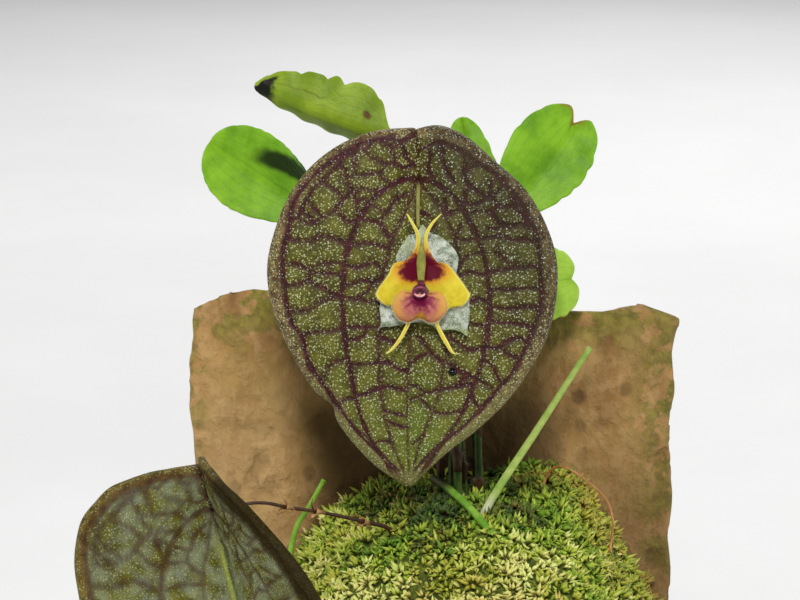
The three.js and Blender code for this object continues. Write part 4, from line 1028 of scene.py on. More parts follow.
def sheath(centre, heading, radius, length, flare, number):
    """A thin torn trumpet round the stem. One side of its rim runs out into a point."""
    profile = [(0, 0.03), (0.45, 0.08), (0.8, 0.5), (1, 1), (0.98, 0.86), (0.75, 0.3), (0.4, -0.1),
               (0, -0.1)]
    heading = unit(np.array(heading, float))
    side = unit(np.cross(heading, [0.3, 0.5, 0.81]))
    third = np.cross(heading, side)
    around = 16
    angle = np.linspace(0, 2 * np.pi, around, endpoint=False)
    round_the_stem = np.cos(angle)[:, None] * side + np.sin(angle)[:, None] * third
    torn = 1 + 0.25 * np.cos(angle - number) + 0.2 * np.sin(3 * angle + 2 * number)
    torn = torn + 0.9 * np.maximum(0, np.cos(angle - 2.4 * number)) ** 6
    rings = np.array([
        centre + heading * length * (a * (1 + 0.25 * a * (torn[k] - 1)) - 1)
        + round_the_stem[k] * (radius + flare * b * torn[k])
        for k in range(around) for a, b in profile
    ]).reshape(around, len(profile), 3)
    count = len(profile)
    faces = []
    for k in range(around):
        for i in range(count):
            j, n = (i + 1) % count, (k + 1) % around
            faces.append([k * count + i, n * count + i, n * count + j, k * count + j])
    parts = [(rings.reshape(-1, 3), faces)]
    for k in range(0, around, 3):
        rim = rings[k, 3]
        end = rim + 0.25 * heading + round_the_stem[k] * flare * (0.4 + 0.3 * math.sin(5 * k))
        parts.append(tube(np.array([rim, (rim + end) / 2 + 0.05 * heading, end]), [0.04, 0.028, 0.01], 4))
    return joined(parts)


def stem(name, node_name, line, radii, material, slot, sheaths=(), steps=60):
    path = smooth_curve(line, steps)
    grown = np.interp(np.linspace(0, 1, steps), np.linspace(0, 1, len(radii)), radii)
    points, faces = tube(path, grown, 12)
    values = {"along": np.repeat(np.linspace(0, 1, steps), 12)}
    made = make_piece(name, points, faces, material, slot, [node_name], values)
    parts = []
    for number, (share, growth) in enumerate(sheaths):
        centre = along(path, [share])[0]
        ahead = along(path, [min(share + 0.02, 1)])[0] - along(path, [share - 0.02])[0]
        radius = float(np.interp(share, np.linspace(0, 1, steps), grown))
        length, flare = 4.2 * radius + 0.5, growth * (0.7 * radius + 0.1)
        parts.append(sheath(centre, ahead, radius, length, flare, number + 1))
    if parts:
        # The sheaths behind the big leaf get the copy with painted shade.
        skin = sheath_skin if name == "ramicaul_low" else sheath_skin_painted_shade
        make_piece(f"{name}_sheaths", *joined(parts), skin, "dry_stem")
    return made


# Where each stem starts, sunk into the moss, and a point that it bows through.
STEM_FEET = {
    "left": ((0.6, 11.6, 56), (0, 15.6, 75)),
    "top": ((2.2, 13.4, 56), (1.6, 17.4, 80)),
    "narrow": ((3.9, 12.4, 56), (3.2, 15, 75)),
    "right": ((5.2, 14.2, 56), (4.6, 17.4, 74)),
    "beside": ((5.4, 10.6, 56), (4.9, 12.8, 71)),
}
for leaf_name, (foot, bow) in STEM_FEET.items():
    base, tip = (np.array(GREEN_LEAVES[leaf_name][k], float) for k in (0, 1))
    back = unit(base - tip)
    line = [foot, bow, *in_basket([base + 2.2 * back, base + 0.35 * back])]
    stem(f"ramicaul_{leaf_name}", f"stem_green_{leaf_name}", line, [0.5, 0.42, 0.38], green_stem,
         "green_stem", [(0.3, 1), (0.52, 1)])

stem_main_line = [(3.2, 8.6, 56), (2.7, 9.6, 64.5), (2.4, 12.2, 75.2), (1.1, 12.9, 87.6),
                  (-0.7, 10.7, 96.1), *in_basket([(1.97, 12.2, -1.35)])]
stem("ramicaul_main", "stem_main", stem_main_line, [0.5, 0.45, 0.42], green_stem, "green_stem",
     [(0.3, 1), (0.5, 1), (0.7, 1)])
stem_low_line = [(-2.6, 5.5, 57), (-4.2, 3.6, 61.6), *in_basket([
    (-1.6, -24.4, -4), (-3, -24, -3), (-5.9, -23.1, 0), (-8.7, -22.4, 2), (-11.8, -21.8, 4),
    (-14.4, -21.2, 6), (-17.2, -21.4, 8.8), (-19.1, -22.2, 10.9)])]
stem("ramicaul_low", "stem_low", stem_low_line, [0.28, 0.2, 0.18], dry_stem, "dry_stem",
     [(0.36, 1.2), (0.57, 1.8), (0.69, 2)])
thorn_line = in_basket([(-9.1, -22.3, 2.3), (-9.35, -21.6, 2.5), (-9.25, -20.9, 2.6)])
thorn, faces = tube(thorn_line, [0.1, 0.06, 0.02], 6)
make_piece("ramicaul_low_thorn", thorn, faces, dry_stem, "dry_stem")
SHOOTS = {
    "shoot_long": ([(7.2, -28, -7), (9.2, -22.9, -6), (15, -14.2, -10), (21, -5.3, -14)],
                   [0.48, 0.42, 0.32], long_stem),
    "shoot_short": ([(3.6, -19.6, -12.6), (5.1, -20.5, -10), (7.6, -22.5, -4.6), (9.7, -24.8, -2.6),
                     (12.1, -26.5, -2), (14, -29.5, -3)], [0.42, 0.42], short_stem),
    "shoot_left": ([(-12.8, -31, -19), (-11.6, -25.5, -19), (-10.1, -23, -18.6), (-8.5, -20.1, -18)],
                   [0.36, 0.26], bright_stem),
}
for shoot_name, (line, radii, skin) in SHOOTS.items():
    stem(f"{shoot_name}_skin", shoot_name, in_basket(line), radii, skin, "green_stem")
stalk_line = in_basket([(1.95, 12.2, 1.5), (1.9, 10.5, 1.95), (1.9, 8.4, 2.15), (1.95, 7.6, 2.2)])
stem("flower_stalk_skin", "flower_stalk", stalk_line, [0.22, 0.18], stalk_skin, "green_stem", steps=16)

# %% [markdown]
# ## The flower
#
# The flower is a stack of thin pieces. At the back lie the pale sepals. On them sit two petals,
# each drawn out into a horn above and a tail below. The lip is a small two-lobed cushion, and the
# column comes down between the petals to a purple cap. Each petal is one sheet between two
# borders, so the horn and the tail flow out of the blade without a joint.

# %% Petals
FLOWER = TO_BASKET @ Matrix.Translation((2.12, 1.7, 0))
PETAL_LEVEL = 3.55
# Each row crosses a petal: x and y on its outer border, then x and y on its inner
# border. The rows run from the tip of the horn to the tip of the tail.
PETAL_LEFT = [
    (-1.49, 7.37, -1.3, 7.37), (-1.08, 6.51, -0.72, 6.51), (-0.63, 5.57, -0.14, 5.57),
    (-0.46, 4.75, 0.07, 4.75), (-0.57, 3.93, 0.01, 3.87), (-0.9, 3.23, -0.18, 3.11),
    (-1.63, 2.47, -0.32, 2.53), (-2.8, 2.12, -0.34, 1.94), (-3.44, 0.89, -0.32, 1.12),
    (-4.44, -0.51, -0.27, 0.25), (-4.67, -1.31, -0.81, -0.87), (-3.79, -2.13, -1.16, -1.57),
    (-2.8, -2.33, -1.16, -2.27), (-1.8, -3.32, -0.98, -3.32), (-1.51, -4.08, -0.98, -4.08),
    (-1.96, -5.08, -1.49, -5.2), (-2.51, -6.02, -2.15, -6.25), (-3.15, -6.84, -2.92, -7.05),
    (-3.66, -7.3, -3.5, -7.42),
]
PETAL_RIGHT = [
    (2.32, 7.35, 2.14, 7.37), (1.59, 6.51, 1.18, 6.51), (1.01, 5.51, 0.57, 5.57),
    (0.83, 4.75, 0.34, 4.75), (0.95, 3.93, 0.36, 3.93), (1.18, 3.23, 0.48, 3.23),
    (1.88, 2.29, 0.6, 2.53), (2.94, 2, 0.6, 1.94), (3.93, 0.89, 0.55, 1.12),
    (4.93, -0.51, 0.5, 0.25), (5.28, -1.28, 0.95, -0.87), (4.63, -2.21, 1.18, -1.57),
    (3.29, -2.5, 1.3, -2.27), (2.35, -3.32, 1.42, -3.32), (2, -4.08, 1.47, -4.14),
    (2.47, -5.14, 1.98, -5.31), (3.05, -6.19, 2.64, -6.48), (3.64, -7.24, 3.35, -7.36),
    (4.11, -7.3, 4.05, -7.44),
]


def flower_piece(name, points, faces, material, slot, nodes=(), values=None):
    make_piece(name, placed(points, FLOWER), faces, material, slot, nodes, values)


def petal_material():
    made, tree, shader = new_material("petal_skin", Roughness=0.5, Specular_IOR_Level=0.1,
                                      Subsurface_Weight=0.08, Subsurface_Scale=0.001)
    colour = mottled(tree, rgb(196, 174, 32), rgb(218, 200, 60), 1.2)
    colour = mix_by(tree, "rim", 0.6, colour, rgb(236, 226, 130))
    colour = mix(tree, layer(tree, "warm"), colour, rgb(206, 96, 20))
    wave = grey_noise(tree, 0.35, sharpness=0.8, seed=2.0)
    edge = plus(tree, layer(tree, "maroon"), swing(tree, wave, 0.2))
    colour = mix(tree, ease(tree, edge, 0.2, 0.8), colour, rgb(90, 0, 28))
    paint(tree, shader, colour)
    bump(tree, shader, specks(tree, 0.16, 0.6, 1.0)["Mask"], 0.35, 0.00003)
    return made


petal_skin = petal_material()


def petal(side, outline, patch):
    pairs = np.array(outline, float)
    path = smooth_curve(np.column_stack([pairs, np.linspace(0, 18, len(pairs))]), 150)
    outer, inner, t = path[:, 0:2], path[:, 2:4], path[:, 4] / 18
    share = np.linspace(0, 1, 36)
    centre_line = inner[:, 1]
    if side == "left":
        outer, inner = inner, outer
    width = np.linalg.norm(outer - inner, axis=1)
    thick = np.minimum(0.15, 0.3 * width)
    inset = np.minimum(0.9 * thick, 0.36 * width)[:, None] * unit(inner - outer)
    beside_column = smoothstep(width, 1.0, 2.0)[:, None] * smoothstep(centre_line, -0.9, 0)[:, None]
    if side == "left":
        outer, inner = outer + inset * (1 - beside_column), inner - inset
    else:
        outer, inner = outer + inset, inner - inset * (1 - beside_column)
    flat = outer[:, None] * (1 - share)[None, :, None] + inner[:, None] * share[None, :, None]
    cross = (2 * share - 1)[None]
    rise = 0.9 * falling(t, 0, 0.3) - 0.12 * smoothstep(t, 0.7, 1)
    blade = smoothstep(width, 0.8, 2.5)[:, None]
    level = PETAL_LEVEL + rise[:, None] - 0.32 * blade * cross**2
    level = level + 0.12 * blade * np.sin(flat[..., 0] * 1.7 + flat[..., 1])
    middle = np.dstack([flat, level])
    half = thick[:, None] * np.sqrt(np.maximum(0, 1 - (0.85 * cross) ** 4))
    half[0], half[-1] = 0.02, 0.02
    points, faces, row, column, _ = thick_sheet(middle, half)
    x, y = points[:, 0], points[:, 1]
    px, py, sign = patch
    reach = sign * (x - px)
    spread = np.where(reach > 0, (reach / 1.85) ** 2, (reach / 0.9) ** 2)
    upper = 1.5 + 0.7 * np.exp(-((reach / 0.7) ** 2))
    spread = spread + np.where(y > py, (y - py) / upper, (y - py) / 1.0) ** 2
    streaks = 0.07 * np.sin(17 * np.arctan2(y - py - 1.2, x - px))
    maroon = 1.15 * np.exp(-(spread**1.5)) + streaks
    warm = np.exp(-((spread / 1.55) ** 2))
    rim = np.minimum(share, 1 - share)[column] * width[row]
    values = {"maroon": maroon, "warm": 0.9 * warm, "rim": falling(rim, 0.02, 0.2)}
    flower_piece(f"petal_{side}_blade", points, faces, petal_skin, "petal", [f"petal_{side}"], values)


petal("left", PETAL_LEFT, (-0.5, 1.15, -1))
petal("right", PETAL_RIGHT, (0.75, 1.2, 1))

# %% [markdown]
# The sepals and the lip are plates: rings of points spread from a centre to an outline. A height
# rule crowns them, and the rim is rounded by the thickness, which falls to nothing at the outline.


# %% Plates
def flower_plate(centre, outline, rings, around, height, thick):
    edge = smooth_curve([*outline, outline[0]], around + 1)[:-1]
    share = np.sin(np.linspace(0, np.pi / 2, rings + 1)[1:])
    centre = np.array(centre, float)
    front = centre + share[:, None, None] * (edge - centre)
    r = np.repeat(share[:, None], around, axis=1)
    half = thick / 2 * np.sqrt(np.maximum(0, 1 - r**8))
    level = height(front[..., 0], front[..., 1], r)
    top = np.dstack([front, level + half])
    bottom = np.dstack([front, level - half])[::-1][1:]
    hub = height(centre[:1], centre[1:], np.zeros(1))[0]
    caps = [np.broadcast_to([*centre, hub + sign * thick / 2], (1, around, 3)) for sign in (1, -1)]
    rings_all = np.concatenate([caps[0], top, bottom, caps[1]])
    reach = np.concatenate([[0], share, share[::-1][1:], [0]])
    points, faces = loft(rings_all)
    return points, faces, np.repeat(reach, around)


SEPALS = [(0.3, 6.33), (-0.05, 5.86), (-0.57, 5.28), (-1.1, 5.2), (-1.69, 4.46), (-2.21, 3.7), (-2.54, 2.76),
          (-2.45, 2.18), (-2.8, 0.66), (-3.5, -0.51), (-4.26, -2.27), (-4.2, -3.44), (-4.14, -4.26),
          (-4.4, -4.75), (-3.97, -4.56), (-2.86, -4.49), (-1.63, -4.26), (-0.11, -4.03), (1.18, -4.38),
          (2.53, -4.87), (3.4, -4.82), (4.28, -5.08), (4.96, -5.5), (5.02, -4.61), (5.22, -3.79),
          (5.22, -2.15), (5.1, -0.87), (4.58, -0.05), (3.87, 0.77), (3.99, 1.94), (4.05, 2.76), (3.64, 3.64),
          (2.82, 4.52), (1.94, 5.13), (1.24, 5.36), (0.71, 5.78)]
LIP = [(-0.07, -0.51), (0.75, -0.9), (1.3, -0.73), (1.88, -0.77), (2.35, -1.1), (2.67, -1.69), (2.82, -2.39),
       (2.61, -3.09), (2.14, -3.68), (1.53, -4.03), (0.95, -4.08), (0.27, -3.73), (-0.17, -3.63),
       (-0.63, -3.82), (-1.16, -4.03), (-1.63, -3.97), (-2.27, -3.68), (-2.7, -3.09), (-2.92, -2.27),
       (-2.66, -1.51), (-2.21, -0.87), (-1.63, -0.61), (-1.0, -0.77)]


def sepal_height(x, y, r):
    folds = 0.1 * np.sin(2.2 * x + 0.4 * y) + 0.08 * np.sin(1.7 * y - x)
    return 2.4 - 0.1 * r**2 + folds * r - 0.25 * np.exp(-(((x - 0.3) / 0.4) ** 2)) * (y > 0) * r


def lip_height(x, y, r):
    pillow = 0.45 * (1 - r**2) - 0.35 * r**4
    groove = -0.5 * np.exp(-((x / 0.55) ** 2)) * falling(y, -2.8, -1.2)
    return 4.8 + pillow + groove + 0.06 * (y + 2) * r


def sepal_material():
    made, tree, shader = new_material("sepal_skin", Roughness=0.4, Specular_IOR_Level=0.35,
                                      Subsurface_Weight=0.1, Subsurface_Scale=0.001)
    colour = mottled(tree, rgb(106, 116, 84), rgb(184, 192, 170), 0.8, sharpness=0.8)
    colour = mix(tree, layer(tree, "green"), colour, rgb(130, 142, 58))
    grains = specks(tree, 0.13, 0.5, 0.9)
    patches = grey_noise(tree, 1.4, seed=3.0, sharpness=0.7)
    cover = plus(tree, 0.35, times(tree, patches, 0.6))
    frost = times(tree, grains["Mask"], cover)
    colour = mix(tree, frost, colour, rgb(230, 236, 238))
    paint(tree, shader, colour)
    bump(tree, shader, grains["Mask"], 0.6, 0.00008)
    return made


points, faces, reach = flower_plate((0.3, 0), SEPALS, 26, 260, sepal_height, 0.34)
x, y = points[:, 0], points[:, 1]
green = falling(y, -5.2, -4.5) + 0.55 * falling(x, -1.6, -0.4) * smoothstep(y, 2.0, 4.0)
green = np.clip(green + 0.6 * np.exp(-(((x - 0.3) / 0.35) ** 2)) * (y > 3), 0, 1)
flower_piece("sepals_skin", points, faces, sepal_material(), "sepal", ["sepals"], {"green": green})


# %% [markdown]
# The lip is orange at its rims and pink on its lobes. Purple rays spread from under the cap, and
# the notch between the lobes is yellow.


# %% Lip
def lip_material():
    made, tree, shader = new_material("lip_skin", Roughness=0.5, Specular_IOR_Level=0.12,
                                      Subsurface_Weight=0.08, Subsurface_Scale=0.001)
    colour = mottled(tree, rgb(164, 78, 88), rgb(190, 114, 104), 0.6, sharpness=0.7)
    colour = mix(tree, layer(tree, "rim"), colour, rgb(208, 156, 76))
    colour = mix(tree, layer(tree, "notch"), colour, rgb(206, 150, 30))
    wave = grey_noise(tree, 0.3, seed=5.0, sharpness=0.8)
    ray = plus(tree, layer(tree, "purple"), swing(tree, wave, 0.22))
    colour = mix(tree, ease(tree, ray, 0.1, 0.95), colour, rgb(108, 8, 52))
    paint(tree, shader, colour)
    bump(tree, shader, specks(tree, 0.14, 0.6, 1.0)["Mask"], 0.4, 0.00004)
    return made


points, faces, reach = flower_plate((0, -2.2), LIP, 24, 220, lip_height, 0.5)
x, y = points[:, 0], points[:, 1]
bearing = np.arctan2(x, -(y + 1.1))
rays = 0.2 * np.cos(15 * bearing) + 0.1 * np.cos(23 * bearing + 1)
spread = np.hypot(x / 1.75, (y + 1.75) / 1.25)
values = {
    "rim": smoothstep(reach, 0.45, 0.95) * (1 - 0.55 * falling(y, -3.9, -2.7)),
    "notch": np.exp(-((x / 0.42) ** 2)) * falling(y, -3.4, -2.7),
    "purple": np.clip(1.25 - spread + rays * smoothstep(spread, 0.3, 0.9), 0, 1.2) * (y > -3.6),
}
flower_piece("lip_skin", points, faces, lip_material(), "lip", ["lip"], values)

# %% Column and cap
column_skin = stem_material("column_skin", rgb(116, 114, 34), rgb(150, 146, 62))
cap_skin = stem_material("cap_skin", rgb(88, 10, 40), rgb(132, 32, 68))
# The cup's rim is pale pink-white: a painted highlight along the cap's lower rim.
cup_rim_highlight_skin = stem_material("cup_rim_painted_highlight", rgb(214, 150, 160), rgb(240, 206, 204))
pollen_skin = stem_material("pollen_skin", rgb(222, 130, 60), rgb(236, 160, 80))
column_path = smooth_curve([(0.1, 4.2, 4.45), (0.1, 2.2, 4.8), (0.08, 0.35, 5.15)], 30)
column_radius = np.interp(np.linspace(0, 1, 30), [0, 0.3, 0.52, 0.8, 1], [0.12, 0.38, 0.52, 0.42, 0.34])
points, faces = tube(column_path, column_radius, 16)
flower_piece("column_skin", points, faces, column_skin, "column", ["column"])


def dome(centre, size, hollow=0.0, rows=22, around=36):
    """A rounded cap, pressed in at the middle of its front."""
    polar = np.linspace(0, np.pi, rows)[:, None]
    angle = np.linspace(0, 2 * np.pi, around, endpoint=False)[None]
    x, y = np.sin(polar) * np.cos(angle), np.sin(polar) * np.sin(angle)
    z = np.cos(polar) - hollow * np.exp(-((x / 0.5) ** 2) - ((y + 0.05) / 0.45) ** 2) * (np.cos(polar) > 0)
    rings = np.stack([x * size[0], y * size[1], z * size[2]], axis=-1) + np.array(centre)
    return loft(rings)


points, faces = dome((-0.05, -0.8, 6.1), (0.84, 0.72, 0.5), hollow=0.8)
x, y, z = points.T
# The hollow is painted darker: painted shade in the recess.
hollow = np.exp(-(((x + 0.05) / 0.42) ** 2) - ((y + 0.84) / 0.3) ** 2) * (z > 6.1)
cap, tree, shader = new_material("cap_front_skin", Roughness=0.4)
colour = mottled(tree, rgb(84, 8, 38), rgb(130, 30, 64), 0.5, sharpness=0.7)
paint(tree, shader, mix(tree, layer(tree, "hollow"), colour, rgb(40, 2, 14)))
flower_piece("column_cap_skin", points, faces, cap, "column_cap", ["column_cap"], {"hollow": hollow})
smile = np.radians(np.linspace(205, 335, 16))
smile_path = np.column_stack([-0.05 + 0.6 * np.cos(smile), -0.86 + 0.42 * np.sin(smile), np.full(16, 6.42)])
points, faces = tube(smile_path, 0.13 * np.sin(np.linspace(0.25, np.pi - 0.25, 16)) + 0.02, 8)
flower_piece("cap_cup_rim", points, faces, cup_rim_highlight_skin, "column_cap")
points, faces = joined([
    dome((-0.07, -1.12, 6.5), (0.14, 0.12, 0.12), rows=8, around=12),
    dome((-0.1, -1.42, 6.05), (0.17, 0.11, 0.14), rows=8, around=12),
])
flower_piece("cap_pollen", points, faces, pollen_skin, "lip")
points, faces = dome((0.1, 0.02, 5.75), (0.3, 0.3, 0.28), rows=10, around=14)
flower_piece("cap_knob", points, faces, cap_skin, "column_cap")

# %% [markdown]
# ## Bark and moss bodies
#
# The bark slab and the moss cushion keep the forms of their solids. Each solid is copied, covered
# with an even mesh by a voxel remesh, and its points are then moved in and out by noise. Even
# small faces are what lets the noise cut pits and fissures.


# %% Remeshed copy of a solid
def even_copy(node_name, voxel):
    """The points (mm), faces and normals of a CAD node, remeshed to even small faces."""
    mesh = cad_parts[node_name].data.copy()
    mesh.transform(Matrix.Scale(1 / MM, 4))
    copy = bpy.data.objects.new("remesh_work", mesh)
    bpy.context.collection.objects.link(copy)
    remesh = copy.modifiers.new("even", "REMESH")
    remesh.mode = "VOXEL"
    remesh.voxel_size = voxel
    made = copy.evaluated_get(bpy.context.evaluated_depsgraph_get()).to_mesh()
    count = len(made.vertices)
    points, normals = np.empty(count * 3), np.empty(count * 3)
    made.vertices.foreach_get("co", points)
    made.vertices.foreach_get("normal", normals)
    faces = [list(face.vertices) for face in made.polygons]
    bpy.data.objects.remove(copy)
    return points.reshape(-1, 3), faces, normals.reshape(-1, 3)


# %% [markdown]
# The slab is cork-like bark: warm brown, dotted with dark pores, pitted where flakes came off, and
# yellow-green with algae along its top and sides. The pits are painted a little darker: painted
# shade in the hollows. Its front gets painted shade, darker to the right and low down, and a
# painted shadow at the plant's foot, where the leaf's shadow falls.


# %% Bark slab
def bark_material():
    made, tree, shader = new_material("bark_skin", Roughness=0.9)
    colour = mottled(tree, rgb(146, 106, 56), rgb(188, 146, 88), 6.0, stretch=(1, 1, 0.6), sharpness=0.6)
    fine = grey_noise(tree, 1.1, stretch=(1, 1, 0.7), sharpness=0.8, seed=2.0)
    colour = mix(tree, times(tree, fine, 0.35), colour, rgb(200, 166, 114))
    pores = specks(tree, 4.0, 0.26, 0.6, stretch=(1, 1, 0.8))["Mask"]
    colour = mix(tree, times(tree, pores, 0.55), colour, rgb(74, 44, 24))
    # The pits are painted darker: painted shade in the hollows.
    colour = mix_by(tree, "pit", 0.35, colour, rgb(84, 54, 28))
    patch = grey_noise(tree, 3.0, sharpness=0.8, seed=6.0)
    algae = times(tree, layer(tree, "algae"), ease(tree, patch, 0.1, 0.6))
    green = mottled(tree, rgb(92, 90, 24), rgb(142, 136, 48), 1.0, seed=9.0)
    colour = mix(tree, times(tree, algae, 0.9), colour, green)
    # Painted shade on the front, with the leaf's painted shadow at the plant's foot.
    colour = mix_by(tree, "painted_bark_shade", 0.6, colour, rgb(92, 68, 32))
    colour = mix_by(tree, "pale", 0.35, colour, rgb(216, 180, 124))
    paint(tree, shader, colour)
    height = minus(tree, fine, times(tree, pores, 0.7))
    bump(tree, shader, height, 0.55, 0.0003)
    return made


SLAB_VOXEL = 0.6
points, faces, normals = even_copy("bark_slab", SLAB_VOXEL)
slow = layered_rough(points * [1, 1, 0.7], 5.0, seed=20)
pits = smoothstep(layered_rough(points * [1, 1, 0.8], 3.2, seed=31), 0.45, 0.9)
lift = 0.42 * slow - 0.6 * pits + 0.1 * layered_rough(points, 1.4, seed=40, layers=2) - 0.12
points = points + normals * lift[:, None]
x, y, z = points.T
top_edge = smoothstep(z, 74, 83.5) + 0.15
side_edge = 0.9 * smoothstep(x, 20, 27) + 0.8 * falling(x, -28, -23)
algae = np.clip(np.maximum(top_edge, side_edge) + 0.25 * rough(points, 9, seed=50), 0, 1)
# Painted shade: darker to the right and low down, with the leaf's shadow painted at the plant's foot on the
# front faces.
painted_bark_shade = smoothstep(x, 2, 24) * (0.35 + 0.65 * falling(z, 48, 72))
painted_bark_shade = painted_bark_shade + 0.2 * rough(points, 7, seed=51)
foot = smoothstep(x, -17, -11) * falling(x, 11, 17) * smoothstep(z, 52, 60)
foot = foot * falling(z, 68, 76) * falling(normals[:, 1], -0.4, 0.2)
painted_bark_shade = np.clip(np.maximum(painted_bark_shade, 1.5 * foot), 0, 1.5)
pale = falling(x, -19, -14) * falling(z, 66, 78) * (1 - algae)
make_piece("bark_slab_skin", points, faces, bark_material(), "bark", ["bark_slab"],
           {"pit": pits, "algae": algae, "painted_bark_shade": painted_bark_shade, "pale": pale})

# %% [markdown]
# The moss cushion underneath is green and tufted. It only shows between the moss leaves.


# %% Moss cushion
def cushion_material():
    made, tree, shader = new_material("moss_ground", Roughness=0.95)
    colour = mottled(tree, rgb(50, 60, 8), rgb(112, 124, 30), 1.6, sharpness=0.7)
    tufts = specks(tree, 0.7, 0.5, 0.85, stretch=(1, 1, 0.6))
    tuft = mix(tree, tufts["Random"], rgb(104, 130, 24), rgb(186, 188, 84))
    colour = mix(tree, times(tree, tufts["Mask"], 0.85), colour, tuft)
    paint(tree, shader, colour)
    bump(tree, shader, tufts["Mask"], 1.0, 0.0005)
    return made


CUSHION_VOXEL = 1.1
points, faces, normals = even_copy("moss", CUSHION_VOXEL)
lift = 0.4 * layered_rough(points, 2.2, seed=60) - 0.3
cushion_points = points + normals * lift[:, None]
moss_cushion = make_piece("moss_cushion", cushion_points, faces, cushion_material(), "moss", ["moss"])

# %% [markdown]
# ## Moss leaves
#
# The moss is a loose pale bog moss. Its shoots end in heads: small stars of thin branches, each a
# millimetre or two long, that arch outwards. One branch is modelled as five points, and numpy
# copies it to thousands of places at once. The heads are spread over the cushion, leave out what
# the slats and the slab hide, and carry a tint from dark green to cream and a touch of ochre.

# %% Where the heads sit
random = np.random.default_rng(12)


def spread_over(mesh, spacing, tries):
    """Random places on a mesh, no two of them nearer than the spacing, with their normals."""
    mesh.calc_loop_triangles()
    corner = np.empty(len(mesh.loop_triangles) * 3, int)
    mesh.loop_triangles.foreach_get("vertices", corner)
    points = np.empty(len(mesh.vertices) * 3)
    mesh.vertices.foreach_get("co", points)
    a, b, c = (points.reshape(-1, 3)[corner.reshape(-1, 3)[:, k]] / MM for k in range(3))
    normal = np.cross(b - a, c - a)
    area = np.linalg.norm(normal, axis=1)
    pick = random.choice(len(area), tries, p=area / area.sum())
    u, v = random.random((2, tries, 1))
    fold = u + v > 1
    u, v = np.where(fold, 1 - u, u), np.where(fold, 1 - v, v)
    place = a[pick] + u * (b - a)[pick] + v * (c - a)[pick]
    tree = KDTree(tries)
    for k, point in enumerate(place):
        tree.insert(point, k)
    tree.balance()
    taken, kept = np.zeros(tries, bool), []
    for k, point in enumerate(place):
        if not taken[k]:
            kept.append(k)
            taken[[near for _, near, _ in tree.find_range(point, spacing)]] = True
    return place[kept], unit(normal[pick[kept]])


SLATS = [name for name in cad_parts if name.startswith(("wall_", "runner_", "floor_slat_"))]


def is_free(place, normal):
    """True where neither a slat nor the slab is close in front of the moss."""
    free = np.ones(len(place), bool)
    probe = place + normal * 0.9
    for name in [*SLATS, "bark_slab"]:
        low, high = in_mm(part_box(name))
        free &= ~np.all((probe > low - 0.25) & (probe < high + 0.25), axis=1)
    return free


BRANCH = np.array([  # along, across, up: a leaf pointed at both ends
    (0, 0, 0), (0.45, -1, -0.4), (0.45, 1, -0.4), (0.5, 0, 0.7), (1, 0, 0),
])
BRANCH_FACES = np.array([[0, 1, 3], [0, 3, 2], [0, 2, 1], [4, 3, 1], [4, 2, 3], [4, 1, 2]])


def moss_heads(place, normal, tint, warm):
    """Stars of thin arching branches. Returns points, faces and each point's tint, warmth and
    share of its branch."""
    heads = len(place)
    size = random.uniform(0.75, 1.35, heads)
    owner = np.repeat(np.arange(heads), np.round(random.uniform(9, 14, heads) * size).astype(int))
    count = len(owner)
    up = normal[owner]
    side = unit(np.cross(up, [0.3, 0.4, 0.86]))
    turn = random.random(count)[:, None] * 2 * np.pi
    outward = np.cos(turn) * side + np.sin(turn) * np.cross(up, side)
    raised = np.radians(90 - 88 * random.random(count) ** 0.6)[:, None]
    ahead = np.cos(raised) * outward + np.sin(raised) * up
    wide = unit(np.cross(up, outward))
    over = np.cross(ahead, wide)
    length = (random.uniform(1.0, 1.8, count) * size[owner])[:, None]
    thick = (random.uniform(0.17, 0.28, count) * size[owner])[:, None]
    droop = length * random.uniform(0.1, 0.5, count)[:, None] * np.cos(raised)
    start = place[owner] + outward * 0.12 + up * random.uniform(-0.12, 0.35, heads)[owner][:, None]
    points = np.stack([
        start + ahead * length * a + wide * thick * b + over * thick * c - up * droop * a * a
        for a, b, c in BRANCH
    ], axis=1)
    each = len(BRANCH)
    faces = (np.arange(count)[:, None, None] * each + BRANCH_FACES).reshape(-1, 3).tolist()
    tint = np.clip(tint[owner] + random.normal(0, 0.08, count) + 0.15 * np.sin(raised[:, 0]), 0, 1)
    return (points.reshape(-1, 3), faces, np.repeat(tint, each), np.repeat(warm[owner], each),
            np.tile(BRANCH[:, 0], count))


# %% Moss material and pieces
def moss_material():
    made, tree, shader = new_material("moss_leaf", Roughness=0.6, Subsurface_Weight=0.1,
                                      Subsurface_Scale=0.001)
    tint = layer(tree, "tint")
    colour = mix(tree, ease(tree, tint, 0.0, 0.35), rgb(46, 72, 6), rgb(104, 146, 22))
    colour = mix(tree, ease(tree, tint, 0.3, 0.62), colour, rgb(168, 186, 52))
    colour = mix(tree, ease(tree, tint, 0.6, 0.95), colour, rgb(226, 226, 134))
    colour = mix_by(tree, "warm", 0.65, colour, rgb(184, 150, 56))
    # Painted shade: each branch darkens towards its root, inside the head.
    colour = mix(tree, ease(tree, layer(tree, "along"), 0.0, 0.5, 0.6, 0.0), colour, rgb(60, 74, 10))
    paint(tree, shader, colour)
    return made


HEAD_SPACING = 1.0
HEAD_TRIES = 90000
MOSS_RIM = 38.5  # the moss at the slats lies lower than this
place, normal = spread_over(moss_cushion.data, HEAD_SPACING, HEAD_TRIES)
free = is_free(place, normal) & (normal[:, 2] > -0.5)
place, normal = place[free], normal[free]
heads = len(place)
print("moss heads:", heads)
